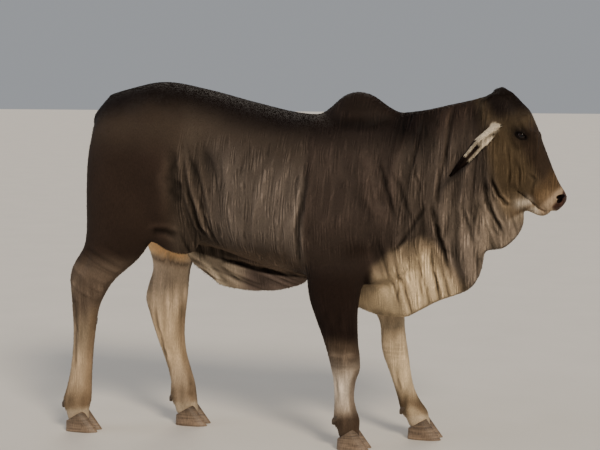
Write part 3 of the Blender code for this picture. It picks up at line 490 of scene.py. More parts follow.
VOXEL = 0.0042
RELAXING_PASSES = 56
RELAX_BODY, RELAX_HEAD, RELAX_SHANK, RELAX_TAIL = 0.5, 0.15, 0.24, 0.03
TRUNK_PASSES = 130
TRUNK_SWELL = 0.0008
COAT_DEPTH = 0.003
SHANK_COAT_DEPTH = 0.002


def with_modifier(piece, kind, **settings):
    """Adds one modifier, applies it and puts the result in the piece's mesh."""
    modifier = piece.modifiers.new(kind.lower(), kind)
    for key, value in settings.items():
        setattr(modifier, key, value)
    graph = bpy.context.evaluated_depsgraph_get()
    mesh = bpy.data.meshes.new_from_object(piece.evaluated_get(graph), depsgraph=graph)
    piece.modifiers.clear()
    old = piece.data
    piece.data = mesh
    bpy.data.meshes.remove(old)


def vectors(values, key, count):
    """A mesh collection's three-number property as an array of rows."""
    flat = np.empty(count * 3, np.float32)
    values.foreach_get(key, flat)
    return flat.reshape(-1, 3).astype(float)


def points_of(piece):
    """Where the piece's points are, as an array of rows."""
    return vectors(piece.data.vertices, "co", len(piece.data.vertices))


def normals_of(piece):
    """Which way the surface faces at each of the piece's points."""
    return vectors(piece.data.vertex_normals, "vector", len(piece.data.vertices))


def edges_of(piece):
    """The numbers of the two points at the ends of each edge."""
    flat = np.empty(len(piece.data.edges) * 2, np.int32)
    piece.data.edges.foreach_get("vertices", flat)
    return flat.reshape(-1, 2)


def move_points(piece, points):
    """Puts the piece's points where these rows say."""
    piece.data.vertices.foreach_set("co", np.ravel(points).astype(np.float32))
    piece.data.update()


def ramp(value, start, end):
    """Zero before start, one after end, and a smooth S between them."""
    t = np.clip((value - start) / (end - start), 0, 1)
    return t * t * (3 - 2 * t)


def bell(distance, reach):
    """One at no distance, falling as the exponent of less the distance over reach, squared."""
    return np.exp(-((distance / reach) ** 2))


def relaxed(points, edges, strength, passes):
    """Each point goes its share of the way to the mean of its neighbours, again and again."""
    a, b = edges.T
    count = np.bincount(edges.ravel(), minlength=len(points))[:, None]
    for _ in range(passes):
        total = [
            np.bincount(a, points[b, k], len(points)) + np.bincount(b, points[a, k], len(points))
            for k in range(3)
        ]
        points = points + strength[:, None] * (np.column_stack(total) / count - points)
    return points


def tail_share(points):
    """One on the hanging part of the tail and zero on the body, by distance behind the thighs."""
    behind = ramp(-points[:, 0], 0.735, 0.765) * ramp(0.040 - np.abs(points[:, 1] - 0.008), 0, 0.008)
    return behind * ramp(points[:, 2], 0.55, 0.60) * ramp(1.235 - points[:, 2], 0, 0.03)


def head_share(points):
    """One on the head and zero behind a slanting line through the throat and the poll."""
    return ramp(points[:, 0] + 0.25 * (points[:, 2] - 1.1), 0.78, 0.84) * ramp(points[:, 2], 0.86, 0.93)


def shank_share(points):
    """One on the lower legs and zero above them and on the brisket."""
    brisket = ramp(points[:, 0], 0.55, 0.60) * ramp(points[:, 2], 0.48, 0.5)
    return ramp(0.62 - points[:, 2], 0, 0.12) * (1 - brisket)


def trunk_share(points):
    """One on the barrel, rump and shoulders, falling to zero at the legs, tail, hump, neck and dewlap."""
    x, y, z = points.T
    inside = ramp(0.47 - x, 0, 0.10) * ramp(z, 0.70, 0.80) * (1 - tail_share(points))
    hump = ramp(z, 1.20, 1.27) * ramp(x, 0.08, 0.14)
    root = bell(np.hypot(x + 0.70, z - 1.27), 0.07) * bell(y, 0.04)
    return inside * (1 - 0.9 * hump) * (1 - root) * ramp(x, -0.80, -0.70)


hide = mesh_piece("hide", *joined([closed_shell(form) for form in forms]))
with_modifier(hide, "REMESH", mode="VOXEL", voxel_size=VOXEL)
points = points_of(hide)
strength = np.full(len(points), RELAX_BODY)
for share, value in (
    (head_share(points), RELAX_HEAD),
    (shank_share(points), RELAX_SHANK),
    (tail_share(points), RELAX_TAIL),
):
    strength += share * (value - strength)
points = relaxed(points, edges_of(hide), strength, RELAXING_PASSES)
broad = trunk_share(points)
points = relaxed(points, edges_of(hide), 0.5 * broad, TRUNK_PASSES)
move_points(hide, points)
points = points + (TRUNK_SWELL * broad)[:, None] * normals_of(hide)
move_points(hide, points)
depth = COAT_DEPTH + shank_share(points) * (SHANK_COAT_DEPTH - COAT_DEPTH)
move_points(hide, points - depth[:, None] * normals_of(hide))

# The ears: hanging leaves of gristle under hide, curled along their length into a cup that opens
# outwards and forwards. Each is worked out on its own and grown into the hide at its root.

EAR_PATH = [
    (0.858, 0.062, 1.242),
    (0.836, 0.098, 1.219),
    (0.801, 0.142, 1.168),
    (0.756, 0.170, 1.109),
    (0.686, 0.187, 1.052),
]
EAR_STATIONS = [
    # place along, curl radius, half angle of the curl in degrees, share of the cup's full depth
    (0.00, 0.018, 125, 0.0),
    (0.12, 0.018, 125, 0.0),
    (0.22, 0.020, 118, 0.8),
    (0.40, 0.030, 90, 1.0),
    (0.60, 0.040, 68, 1.0),
    (0.78, 0.035, 62, 1.0),
    (0.92, 0.021, 60, 0.6),
    (1.00, 0.006, 60, 0.0),
]
EAR_OPENS = (0.70, 0.34, -0.62)
EAR_THICKNESS = 0.0055
EAR_RINGS, EAR_ARC = 56, 31
EAR_ROOT = np.array(EAR_PATH[0]) + 0.45 * (np.array(EAR_PATH[1]) - np.array(EAR_PATH[0]))
EAR_ROOT_REACH = 0.034


def ear_rings(side):
    """Rings of a leaf: an outer arc of the curl, and back along an inner arc or, where shallow, its chord."""
    place, radius, half_angle, cup = np.array(EAR_STATIONS).T
    at = np.linspace(0, 1, EAR_RINGS)
    known = np.linspace(0, 1, len(EAR_PATH))
    line = np.column_stack([smooth_through(at, known, column) for column in np.array(EAR_PATH).T])
    radius = smooth_through(at, place, radius)[:, None, None]
    half_angle = np.radians(smooth_through(at, place, half_angle))
    cup = smooth_through(at, place, cup)[:, None, None]
    way = unit(np.gradient(line, axis=0))
    opens = unit(np.array(EAR_OPENS) - way * (way @ np.array(EAR_OPENS))[:, None])
    beside = np.cross(way, opens)
    turn = (np.linspace(-1, 1, EAR_ARC) * half_angle[:, None])[:, :, None]
    outer = radius * (-np.cos(turn) * opens[:, None] + np.sin(turn) * beside[:, None])
    chord = outer[:, :1] + (outer[:, -1:] - outer[:, :1]) * np.linspace(0, 1, EAR_ARC)[:, None]
    inner = outer * (1 - EAR_THICKNESS / np.maximum(radius, EAR_THICKNESS * 1.4))
    inside = chord + cup * (inner - chord)
    rings = line[:, None] + np.concatenate([outer, inside[:, -2:0:-1]], axis=1)
    return rings * np.array([1, side, 1])


for label, side in SIDES.items():
    ear = mesh_piece("ear_" + label, *closed_shell(ear_rings(side)))
    with_modifier(hide, "BOOLEAN", operation="UNION", object=ear, solver="MANIFOLD")
    bpy.data.objects.remove(ear)

# The hide's folds: loose brahman skin hangs in close upright folds on the neck and in deep
# grooves on the dewlap, and wrinkles on the flank. All of it is carved in the hide's own surface.

NAVEL_FOLD = [(-0.400, 0.735), (-0.330, 0.690), (-0.270, 0.630), (-0.235, 0.585)]
CREASES = [
    # depth and half width in millimetres, then the line in the side view
    (6, 20, [(-0.372, 1.156), (-0.366, 1.058), (-0.360, 0.945), (-0.362, 0.854)]),
    (5, 7, [(-0.331, 1.149), (-0.316, 1.022), (-0.278, 0.871), (-0.224, 0.752)]),
    (4, 6, [(-0.293, 0.992), (-0.270, 0.841), (-0.235, 0.760)]),
    (4, 6, [(-0.261, 0.985), (-0.243, 0.853), (-0.200, 0.737)]),
    (8, 7, [(-0.300, 0.715), (-0.217, 0.694), (-0.144, 0.681), (-0.056, 0.661), (0.087, 0.635)]),
    (6, 9, [(0.162, 1.141), (0.143, 0.956), (0.132, 0.867), (0.128, 0.770), (0.128, 0.672)]),
    (6, 7, [(0.405, 1.120), (0.421, 1.074), (0.448, 0.994), (0.479, 0.884)]),
    (6, 7, [(0.468, 1.060), (0.481, 1.022), (0.512, 0.949), (0.539, 0.868)]),
    (6, 7, [(0.590, 0.957), (0.565, 0.904), (0.539, 0.851), (0.487, 0.782), (0.450, 0.751)]),
    (11, 8, [(0.600, 1.000), (0.605, 0.952), (0.613, 0.896), (0.629, 0.803), (0.668, 0.639)]),
    (11, 8, [(0.790, 1.050), (0.794, 1.018), (0.799, 0.944), (0.833, 0.874), (0.867, 0.816)]),
    (6, 6, [(0.803, 0.903), (0.823, 0.852), (0.846, 0.808)]),
    (4, 4, [(0.873, 1.165), (0.876, 1.143), (0.881, 1.070), (0.882, 0.989)]),
    (3, 4, [(0.908, 1.100), (0.913, 1.062), (0.918, 0.989)]),
    (10, 6, [(0.811, 1.060), (0.826, 1.013), (0.845, 0.976), (0.864, 0.944), (0.897, 0.930)]),
    (5, 11, [(-0.480, 0.800), (-0.440, 0.822), (-0.400, 0.822), (-0.350, 0.795)]),
    (3, 16, [(0.150, 1.262), (0.260, 1.232), (0.380, 1.235), (0.470, 1.262)]),
    (-5, 24, [(0.350, 1.150), (0.390, 1.000), (0.440, 0.840)]),
    (3, 5, [(0.372, 1.060), (0.392, 0.980), (0.405, 0.905)]),
    (4, 5, [(0.530, 1.130), (0.545, 1.040), (0.572, 0.960)]),
    (4, 6, [(0.655, 1.190), (0.648, 1.060), (0.662, 0.930)]),
    (5, 6, [(0.722, 1.010), (0.716, 0.920), (0.742, 0.820), (0.760, 0.740)]),
    (5, 6, [(0.545, 0.720), (0.552, 0.640), (0.560, 0.560)]),
    (4, 5, [(0.478, 0.700), (0.470, 0.610), (0.462, 0.540)]),
    (4, 5, [(0.600, 0.700), (0.612, 0.640), (0.618, 0.590)]),
    (-6, 10, NAVEL_FOLD),
    (3, 5, [(0.940, 1.066), (0.973, 1.032), (0.963, 0.995), (0.959, 0.958)]),
    (5, 6, [(-0.345, 0.665), (-0.290, 0.620), (-0.262, 0.590)]),
    (5, 6, [(-0.270, 0.680), (-0.215, 0.640), (-0.150, 0.605)]),
    (3, 6, [(0.252, 0.290), (0.256, 0.230), (0.262, 0.165)]),
    (3, 6, [(0.432, 0.290), (0.447, 0.230), (0.466, 0.170)]),
    (4, 7, [(-0.792, 0.560), (-0.795, 0.480), (-0.798, 0.380), (-0.808, 0.260), (-0.822, 0.190)]),
    (4, 7, [(-0.560, 0.500), (-0.546, 0.420), (-0.520, 0.320), (-0.498, 0.240), (-0.486, 0.200)]),
]
SWELLS = [
    # place, reach along and across its lean in the side view, lean in degrees, rise in millimetres
    ((0.500, 0.800), (0.050, 0.060), 0, 7),
    ((0.270, 0.860), (0.080, 0.100), 0, 7),
    ((0.190, 0.700), (0.035, 0.035), 0, 6),
    ((0.355, 0.775), (0.055, 0.028), 0, -8),
    ((-0.270, 1.180), (0.080, 0.055), -20, -8),
    ((-0.600, 1.000), (0.085, 0.150), 0, 6),
    ((-0.425, 0.880), (0.045, 0.060), 0, 6),
    ((-0.735, 0.700), (0.060, 0.016), 65, -7),
    ((0.283, 0.342), (0.034, 0.032), 0, 4),
    ((0.432, 0.350), (0.030, 0.034), 0, 4),
    ((0.290, 0.112), (0.032, 0.020), 0, 3),
    ((0.508, 0.112), (0.032, 0.020), 0, 3),
    ((-0.815, 0.122), (0.030, 0.022), 0, 3),
    ((-0.444, 0.122), (0.030, 0.022), 0, 3),
    ((-0.755, 0.605), (0.040, 0.042), 0, 5),
    ((-0.500, 0.535), (0.040, 0.042), 0, 5),
    ((0.276, 0.415), (0.022, 0.030), 0, -3),
    ((-0.760, 0.500), (0.022, 0.040), 0, -3),
]
HEAD_SWELLS = [
    # place along the head and up, reach along and up, rise in millimetres
    ((0.215, -0.085), (0.065, 0.045), 5),
    ((0.275, -0.022), (0.060, 0.011), 3),
    ((0.130, 0.000), (0.028, 0.022), -5),
    ((0.165, 0.062), (0.034, 0.010), 4),
    ((0.166, 0.046), (0.028, 0.009), -6),
    ((0.205, 0.004), (0.034, 0.008), 3),
    ((0.228, 0.020), (0.014, 0.020), -3),
    ((0.330, 0.005), (0.050, 0.022), -5),
    ((0.345, -0.050), (0.030, 0.020), -3),
    ((0.410, -0.020), (0.030, 0.030), 4),
    ((0.440, 0.022), (0.016, 0.014), 2),
    ((0.400, 0.020), (0.022, 0.030), 2),
    ((0.405, -0.105), (0.026, 0.020), 4),
    ((0.470, -0.062), (0.020, 0.010), 3),
]
EYE_PLACE = (0.192, 0.031)
EYE_OUT = 0.0815
EYE_RADIUS = 0.0205
EYE_SLANT = math.radians(-25)
EYE_HALF_LENGTH = 0.0205
EYE_RISE, EYE_DROP = 0.0105, 0.0080
LID_EDGE = 0.0016
LID_THICKNESS = 0.0052
LID_FOLDS = [
    # above the eye or below it, depth, distance from the lid's edge, half width, rise to full depth
    (1, 0.0022, 0.0085, 0.0022, 0.006),
    (1, 0.0016, 0.0150, 0.0026, 0.006),
    (-1, 0.0014, 0.0080, 0.0020, 0.005),
    (-1, 0.0012, 0.0150, 0.0024, 0.006),
]
MOUTH_LINE = [
    (0.905, 0.990),
    (0.930, 0.975),
    (0.952, 0.959),
    (0.982, 0.931),
    (1.007, 0.917),
    (1.060, 0.912),
]
NOSTRIL_DEPTH = 0.015
NOSTRILS = [
    # place along the head and up, reach along and up, lean in degrees
    ((0.457, 0.043), (0.0085, 0.0150), -20),
    ((0.467, 0.035), (0.0080, 0.0120), 10),
]
EAR_ROOT_PASSES, FACE_PASSES, LID_PASSES = 10, 3, 14
HIDE_TRIANGLES = 192000


def refine(piece, wanted):
    """Halves every edge whose ends are both wanted, and fills the faces between with a grid."""
    bm = bmesh.new()
    bm.from_mesh(piece.data)
    bm.verts.index_update()
    edges = [edge for edge in bm.edges if all(wanted[vert.index] for vert in edge.verts)]
    bmesh.ops.subdivide_edges(bm, edges=edges, cuts=1, use_grid_fill=True)
    bmesh.ops.triangulate(bm, faces=[face for face in bm.faces if len(face.verts) > 4])
    bm.to_mesh(piece.data)
    bm.free()


def head_frame(points):
    """How far along the head's axis and up from it each point lies."""
    away = points - head_point(0, 0)
    return away @ HEAD_AHEAD, away @ HEAD_UP


def turned(across, up, angle):
    """Two distances in the side view, as they are along a line raised by the angle and square to it."""
    return across * math.cos(angle) + up * math.sin(angle), up * math.cos(angle) - across * math.sin(angle)


def to_line(points, line):
    """Distance in the side view to a broken line, and the share of its length at the nearest place."""
    line = np.array(line)
    lengths = np.linalg.norm(np.diff(line, axis=0), axis=1)
    before = np.concatenate([[0], np.cumsum(lengths)])
    flat = points[:, [0, 2]]
    nearest = np.full(len(points), np.inf)
    share = np.zeros(len(points))
    for k, length in enumerate(lengths):
        way = (line[k + 1] - line[k]) / length
        t = np.clip((flat - line[k]) @ way, 0, length)
        apart = np.linalg.norm(flat - line[k] - t[:, None] * way, axis=1)
        closer = apart < nearest
        nearest[closer] = apart[closer]
        share[closer] = (before[k] + t[closer]) / before[-1]
    return nearest, share


def creased(points, normals):
    """How far the creases move each point out: a bell across each line, with a low roll beside it."""
    out = np.zeros(len(points))
    facing = ramp(np.abs(normals[:, 1]), 0.10, 0.45)
    for depth, width, line in CREASES:
        width = width / 1000
        low, high = np.min(line, axis=0) - 4 * width, np.max(line, axis=0) + 4 * width
        near = np.flatnonzero(((points[:, [0, 2]] > low) & (points[:, [0, 2]] < high)).all(1))
        some = points[near]
        drift = 0.5 * width * noise(some * 38, 41) + 0.0045 * noise(some * 14, 42)
        apart, share = to_line(some + drift[:, None] * [1.0, 0, 0.4], line)
        fade = ramp(share, -0.01, 0.30) * ramp(1 - share, -0.01, 0.30)
        fade *= 0.85 + 0.5 * noise(some * 24, 43)
        roll = bell(apart, width) - 0.45 * bell(apart - 2.1 * width, 1.1 * width)
        out[near] -= facing[near] * fade * depth / 1000 * roll
    return out


def swollen(points, normals):
    """How far the muscles, bones and hollows move each point out: a bell in the side view each."""
    out = np.zeros(len(points))
    facing = ramp(np.abs(normals[:, 1]), 0.10, 0.50)
    for (x, z), (along, across), lean, rise in SWELLS:
        u, v = turned(points[:, 0] - x, points[:, 2] - z, math.radians(lean))
        out += facing * rise / 1000 * bell(np.hypot(u / along, v / across), 1)
    along_head, up_head = head_frame(points)
    on_head = head_share(points) * facing
    for (along, up), reach, rise in HEAD_SWELLS:
        apart = np.hypot((along_head - along) / reach[0], (up_head - up) / reach[1])
        out += on_head * rise / 1000 * bell(apart, 1)
    return out


CHANCE = np.random.default_rng(11).uniform(-1, 1, 65536)


def noise(points, seed=0):
    """Smooth noise from -1 to 1: a random value at each whole-number place, blended by an S curve."""
    cell = np.floor(points).astype(np.int64)
    part = points - cell
    part = part * part * (3 - 2 * part)
    total = np.zeros(len(points))
    for corner in np.ndindex(2, 2, 2):
        at = cell + corner
        key = (at[:, 0] * 73856093) ^ (at[:, 1] * 19349663) ^ (at[:, 2] * 83492791) ^ (seed * 2654435)
        weight = np.prod(np.where(np.array(corner) == 1, part, 1 - part), axis=1)
        total += weight * CHANCE[(key ^ (key >> 13)) & 65535]
    return total


def folded(points, normals):
    """How far the loose skin's folds move each point out.

    Each field is the size of a noise stretched along the folds, raised to a power below one, so
    that its rolls are round and meet in sharp grooves where the noise crosses zero.
    """
    x, y, z = points.T
    side = np.sign(y)
    facing = ramp(np.abs(normals[:, 1]), 0.30, 0.75)
    wander = noise(points * [5, 9, 6], 1)
    depth = np.minimum(np.abs(y), 0.3)

    def rolls(across, down, spacing, length, seed, power):
        place = np.column_stack([across / spacing, depth / 0.5 + side * 7.3, down / length])
        return np.abs(noise(place, seed)) ** power

    def lines(across, down, spacing, length, seed):
        place = np.column_stack([across / spacing, depth / 0.35 + side * 5.1, down / length])
        return np.clip(1 - 2.6 * np.abs(noise(place, seed)), 0, 1) ** 1.5

    neck = ramp(x, 0.40, 0.50) * ramp(0.835 - x, 0, 0.06) * ramp(z, 0.70, 0.85) * ramp(1.32 - z, 0, 0.06)
    upright = x - 0.10 * (z - 1.0) + 0.012 * wander
    out = neck * 0.0130 * (rolls(upright, z, 0.036, 0.34, 2, 0.7) - 0.40)
    out += neck * 0.0030 * lines(upright, z, 0.020, 0.24, 3)
    breast = ramp(x, 0.34, 0.44) * ramp(0.86 - z, 0, 0.10) * ramp(z, 0.40, 0.47) * ramp(x + z, 0.95, 1.05)
    fan = x + 0.18 * (z - 0.75) + 0.010 * wander
    out += breast * 0.0140 * (rolls(fan, z, 0.038, 0.30, 4, 0.65) - 0.40)
    out += breast * 0.0025 * lines(fan, z, 0.018, 0.15, 5)
    throat = ramp(x, 0.72, 0.80) * ramp(1.04 - z, 0, 0.08) * (1 - 0.7 * head_share(points))
    hanging = x + 0.38 * (z - 0.9) + 0.006 * wander
    out += throat * 0.0055 * (rolls(hanging, z, 0.028, 0.24, 6, 0.7) - 0.40)
    out += throat * 0.0020 * lines(hanging, z, 0.015, 0.15, 7)
    lean = 0.27 * ramp(-0.10 - x, 0, 0.15) - 0.12 * ramp(x, -0.15, 0.05)
    flank = ramp(x, -0.37, -0.33) * ramp(0.17 - x, 0, 0.05) * ramp(z, 0.66, 0.74) * ramp(1.20 - z, 0, 0.12)
    rear = ramp(-0.13 - x, 0, 0.12)
    swept = x + lean * (z - 0.95) + 0.008 * wander
    out += flank * (0.0020 + 0.0075 * rear) * (rolls(swept, z, 0.028, 0.30, 8, 0.7) - 0.60)
    out += flank * 0.0024 * (lines(swept, z, 0.021, 0.20, 9) - 1.0)
    shoulder = ramp(x, 0.15, 0.20) * ramp(0.44 - x, 0, 0.05) * ramp(z, 0.80, 0.90) * ramp(1.22 - z, 0, 0.10)
    out += shoulder * 0.0018 * lines(x - 0.06 * z + 0.006 * wander, z, 0.019, 0.16, 10)
    navel = ramp(0.705 - z, 0, 0.02) * ramp(x, -0.42, -0.38) * ramp(0.10 - x, 0, 0.05)
    navel *= ramp(0.09 - np.abs(y), 0, 0.02)
    out += navel * 0.0090 * (rolls(z + 0.45 * x + 0.006 * wander, x, 0.022, 0.16, 12, 0.7) - 0.40)
    hock = ramp(-x, 0.55, 0.62) * ramp(z, 0.50, 0.56) * ramp(0.78 - z, 0, 0.05)
    out += hock * 0.0030 * (rolls(z + 0.6 * x + 0.006 * wander, x, 0.024, 0.16, 13, 0.7) - 0.40)
    along, up = head_frame(points)
    cheek = head_share(points) * ramp(0.33 - along, 0, 0.06) * ramp(-up, -0.01, 0.04)
    out += cheek * 0.0014 * lines(x - 0.02 * z + 0.003 * wander, z, 0.018, 0.20, 14)
    knee = ramp(0.42 - z, 0, 0.04) * ramp(z, 0.28, 0.32) * ramp(x, 0.15, 0.20)
    out += knee * 0.0016 * lines(z + 0.006 * wander, x, 0.016, 0.08, 15)
    return facing * out


def with_eyes(points):
    """Lids over each eyeball: held off the ball outside an almond, and sunk under it inside.

    The second value is how much of the relaxing that follows each point gets, round the lids only.
    """
    moved = points.copy()
    loose = np.zeros(len(points))
    for side in SIDES.values():
        centre = head_point(*EYE_PLACE, side * EYE_OUT)
        away = points - centre
        near = np.flatnonzero((np.linalg.norm(away, axis=1) < 0.060) & (away[:, 1] * side > -0.004))
        away = away[near]
        radius = np.linalg.norm(away, axis=1)
        p, q = turned(away[:, 0], away[:, 2], EYE_SLANT)
        height = np.where(q > 0, EYE_RISE, EYE_DROP)
        edge = height * np.clip(1 - (p / EYE_HALF_LENGTH) ** 2, 0, 1) ** 0.75
        beyond = np.maximum(np.abs(p) - EYE_HALF_LENGTH, 0)
        apart = np.where(beyond > 0, np.hypot(beyond, q), np.abs(q) - edge)
        thicker = 1 - np.exp(-np.maximum(apart, 0) / 0.004)
        outside = np.maximum(radius, EYE_RADIUS + LID_EDGE + (LID_THICKNESS - LID_EDGE) * thicker)
        under = EYE_RADIUS - 0.005
        inside = under + (EYE_RADIUS + LID_EDGE - under) * ramp(apart, -0.0022, 0)
        target = np.where(apart > 0, outside, inside)
        for above, sunk, off, width, reach in LID_FOLDS:
            target -= sunk * bell(apart - off, width) * ramp(above * q, 0, reach)
        blend = ramp(0.046 - radius, 0, 0.010)
        moved[near] = centre + away / radius[:, None] * (radius + blend * (target - radius))[:, None]
        around = ramp(apart, 0.0035, 0.009) * ramp(0.056 - radius, 0, 0.012)
        loose[near] = np.maximum(loose[near], around)
    return moved, loose


def from_nostrils(points):
    """How far each point is from each nostril oval's middle, as a share of the oval's reach."""
    along, up = head_frame(points)
    rows = []
    for (place, height), (reach, rise), lean in NOSTRILS:
        u, v = turned(along - place, up - height, math.radians(lean))
        rows.append(np.hypot(u / reach, v / rise))
    return rows


def with_muzzle(points, normals):
    """The mouth's groove all round, and each nostril as two leaning ovals that sink as a steep bowl."""
    along, up = head_frame(points)
    apart, _ = to_line(points, MOUTH_LINE)
    on = ramp(points[:, 0], 0.900, 0.915) * ramp(along, 0.30, 0.34)
    out = on * (-0.0065 * bell(apart, 0.0024) + 0.0014 * bell(apart - 0.008, 0.005))
    sunk = np.zeros(len(points))
    wing = ramp(np.abs(points[:, 1]), 0.018, 0.03) * ramp(along, 0.42, 0.44)
    for apart in from_nostrils(points):
        sunk = np.maximum(sunk, 1 - ramp(apart, 0.62, 1.0))
        out += 0.0016 * bell(apart - 1.35, 0.28) * wing
    beside = ramp(np.abs(points[:, 1]), 0.022, 0.028) * ramp(along, 0.40, 0.42)
    out -= NOSTRIL_DEPTH * sunk * beside
    cleft = bell(points[:, 1], 0.0022) * ramp(along, 0.470, 0.485) * ramp(up, -0.030, -0.022)
    out -= 0.0015 * cleft
    return points + out[:, None] * normals


refine(hide, head_share(points_of(hide)) > 0.25)
points = points_of(hide)
close_in = np.zeros(len(points), bool)
for side in SIDES.values():
    close_in |= np.linalg.norm(points - head_point(*EYE_PLACE, side * EYE_OUT), axis=1) < 0.036
along, up = head_frame(points)
close_in |= (along > 0.425) & (along < 0.50) & (up > 0.005) & (np.abs(points[:, 1]) > 0.02)
close_in |= (to_line(points, MOUTH_LINE)[0] < 0.009) & (along > 0.33)
refine(hide, close_in)
points = points_of(hide)
edges = edges_of(hide)
mirrored = np.column_stack([points[:, 0], np.abs(points[:, 1]), points[:, 2]])
at_root = np.linalg.norm(mirrored - EAR_ROOT, axis=1)
points = relaxed(points, edges, 0.5 * ramp(EAR_ROOT_REACH - at_root, 0, 0.012), EAR_ROOT_PASSES)
face = head_share(points) * (1 - ramp(np.abs(points[:, 1]), 0.10, 0.11))
points = relaxed(points, edges, 0.5 * face, FACE_PASSES)
move_points(hide, points)
normals = normals_of(hide)
ears = ramp(np.abs(points[:, 1]), 0.105, 0.115)
ears *= ramp(points[:, 0], 0.66, 0.67) * ramp(points[:, 2], 1.0, 1.02)
out = (creased(points, normals) + swollen(points, normals) + folded(points, normals)) * (1 - ears)
points = points + out[:, None] * normals
points, loose = with_eyes(points)
points = relaxed(points, edges, 0.5 * loose, LID_PASSES)
move_points(hide, points)
move_points(hide, with_muzzle(points, normals_of(hide)))
with_modifier(hide, "TRIANGULATE")
with_modifier(hide, "DECIMATE", ratio=HIDE_TRIANGLES / len(hide.data.polygons))

# The hide's colour: a blackish warm brown back, rump and hump, a greyer brown barrel and neck, and
# pale tan on the dewlap, navel, shanks and muzzle. Painted shade darkens the grooves, hollows,
# creases and topline, and a painted highlight lightens the rolls over the folds.

COAT_TONE = 0.80
PALE_EDGE = [
    # x and z of the top of the brisket's pale hair
    (0.300, 0.700),
    (0.370, 0.715),
    (0.415, 0.750),
    (0.460, 0.800),
    (0.560, 0.830),
    (0.600, 0.820),
    (0.650, 0.750),
    (0.700, 0.680),
    (0.760, 0.620),
]
BELLY_CREASE = [
    # x and z of the line where the navel flap leaves the belly
    (-0.400, 0.735),
    (-0.215, 0.692),
    (-0.152, 0.674),
    (-0.092, 0.657),
    (-0.012, 0.645),
    (0.110, 0.638),
]


def ear_lines(side):
    """The two rims and the middle line of an ear, as rows of points."""
    rings = ear_rings(side)
    return rings[:, 0], rings[:, EAR_ARC - 1], rings.mean(1)


def to_points(points, targets):
    """Distance from each point to the nearest of a few targets."""
    nearest = np.full(len(points), np.inf)
    for target in targets:
        nearest = np.minimum(nearest, np.linalg.norm(points - target, axis=1))
    return nearest


def body_layers(points, normals, wander):
    """Colours laid one over another on the body, neck, brisket and navel, each with its share."""
    x, y, z = points.T
    under = ramp(-normals[:, 2], 0.35, 0.85)
    back = smooth_through(np.clip(x, -0.76, 0.60), [row[0] for row in TRUNK], [row[2] for row in TRUNK])
    yield "423830", 0.9 * ramp(z - back + 0.02 * wander, -0.30, -0.12)
    yield "3F3228", 0.8 * ramp(0.84 - z, 0, 0.12) * ramp(0.15 - x, 0, 0.1)
    yield "50453B", 0.9 * ramp(-x + 0.02 * wander, 0.14, 0.26)
    yield "43382F", ramp(-x + 0.05 * (z - 0.9) + 0.015 * wander, 0.33, 0.40) * ramp(z, 0.60, 0.72)
    yield "372B24", ramp(-x + 0.01 * wander, 0.36, 0.44) * ramp(z, 0.60, 0.72) * ramp(1.22 - z, 0, 0.14)
    yield "3D332D", ramp(x + 0.01 * wander, 0.12, 0.165) * ramp(0.62 - x, 0, 0.12)
    yield "433A33", ramp(x, 0.44, 0.52)
    yield "2E241E", ramp(x, 0.40, 0.50) * ramp(z - 0.25 * (x - 0.5), 1.08, 1.24)
    # Painted shade: the topline and the top of the hump painted near black, darker than the coat below.
    yield "17100E", 0.95 * ramp(z - back + 0.015 * wander, -0.15, -0.03) * ramp(0.62 - x, 0, 0.1)
    yield "281F1A", 0.95 * ramp(z, 1.20, 1.27) * ramp(x, 0.12, 0.18) * ramp(0.50 - x, 0, 0.06)
    # Painted shade in the hollow above the elbow.
    yield "261C16", 0.8 * bell(np.hypot((x - 0.35) / 0.07, (z - 0.765) / 0.035), 1)
    yield "6C6055", 0.9 * ramp(1.02 - z, 0, 0.16) * ramp(x, 0.58, 0.68)
    yield "7C6E5F", 0.9 * ramp(1.02 - z + 0.3 * (x - 0.80), 0, 0.12) * ramp(x, 0.72, 0.82)
    edge = np.interp(x, *np.array(PALE_EDGE).T)
    between_legs = ramp(x, 0.285, 0.320) * ramp(0.115 - np.abs(y), 0, 0.02)
    pale = ramp(edge - z + 0.016 * wander, 0, 0.060) * np.maximum(between_legs, ramp(x, 0.37, 0.40))
    yield "8E7C65", 0.9 * pale
    yield "C0AA89", pale * ramp(edge - 0.05 - z + 0.02 * wander, 0, 0.10)
    navel = ramp(np.interp(x, *np.array(BELLY_CREASE).T) - z, 0, 0.010) * ramp(x, -0.45, -0.40)
    navel *= ramp(0.13 - x, 0, 0.05) * ramp(0.10 - np.abs(y), 0, 0.02)
    yield "76655A", navel
    yield "A8967F", 0.9 * navel * ramp(-x + 0.02 * wander, 0.10, 0.20)
    fold, _ = to_line(points, NAVEL_FOLD)
    yield "B9A88F", 0.75 * navel * bell(fold, 0.020)
    # Painted shade: a thin dark line in the crease where the navel flap leaves the belly.
    seam, _ = to_line(points, BELLY_CREASE)
    yield "130E0C", 0.85 * bell(seam, 0.0045) * ramp(x, -0.26, -0.20) * ramp(0.12 - np.abs(y), 0, 0.02)
    belly = under * (1 - navel) * ramp(0.40 - np.abs(x + 0.05), 0, 0.1)
    yield "6A594A", 0.8 * belly * ramp(0.78 - z, 0, 0.05)


def leg_shares(points):
    """How far each point is on a fore leg, on a hind leg, and where the near fore leg's front edge is."""
    x, y, z = points.T
    knots = np.clip(z, 0.04, 0.80)
    front, far_front = (
        smooth_through(knots, *np.array(LEGS[foot])[:, [0, 2]].T) for foot in ("right_fore", "left_fore")
    )
    fore = ramp(x, 0.05, 0.10) * ramp(np.where(y < 0, front, far_front) + 0.028 - x, 0, 0.020)
    widening = 0.04 * ramp(z, 0.45, 0.52)
    fore *= ramp(0.78 - z, 0, 0.15) * ramp(np.abs(y), 0.045 + widening, 0.065 + widening)
    hind = ramp(-x, 0.30, 0.34) * ramp(0.86 - z, 0, 0.06) * ramp(np.abs(y), 0.015, 0.03)
    return fore, hind, front


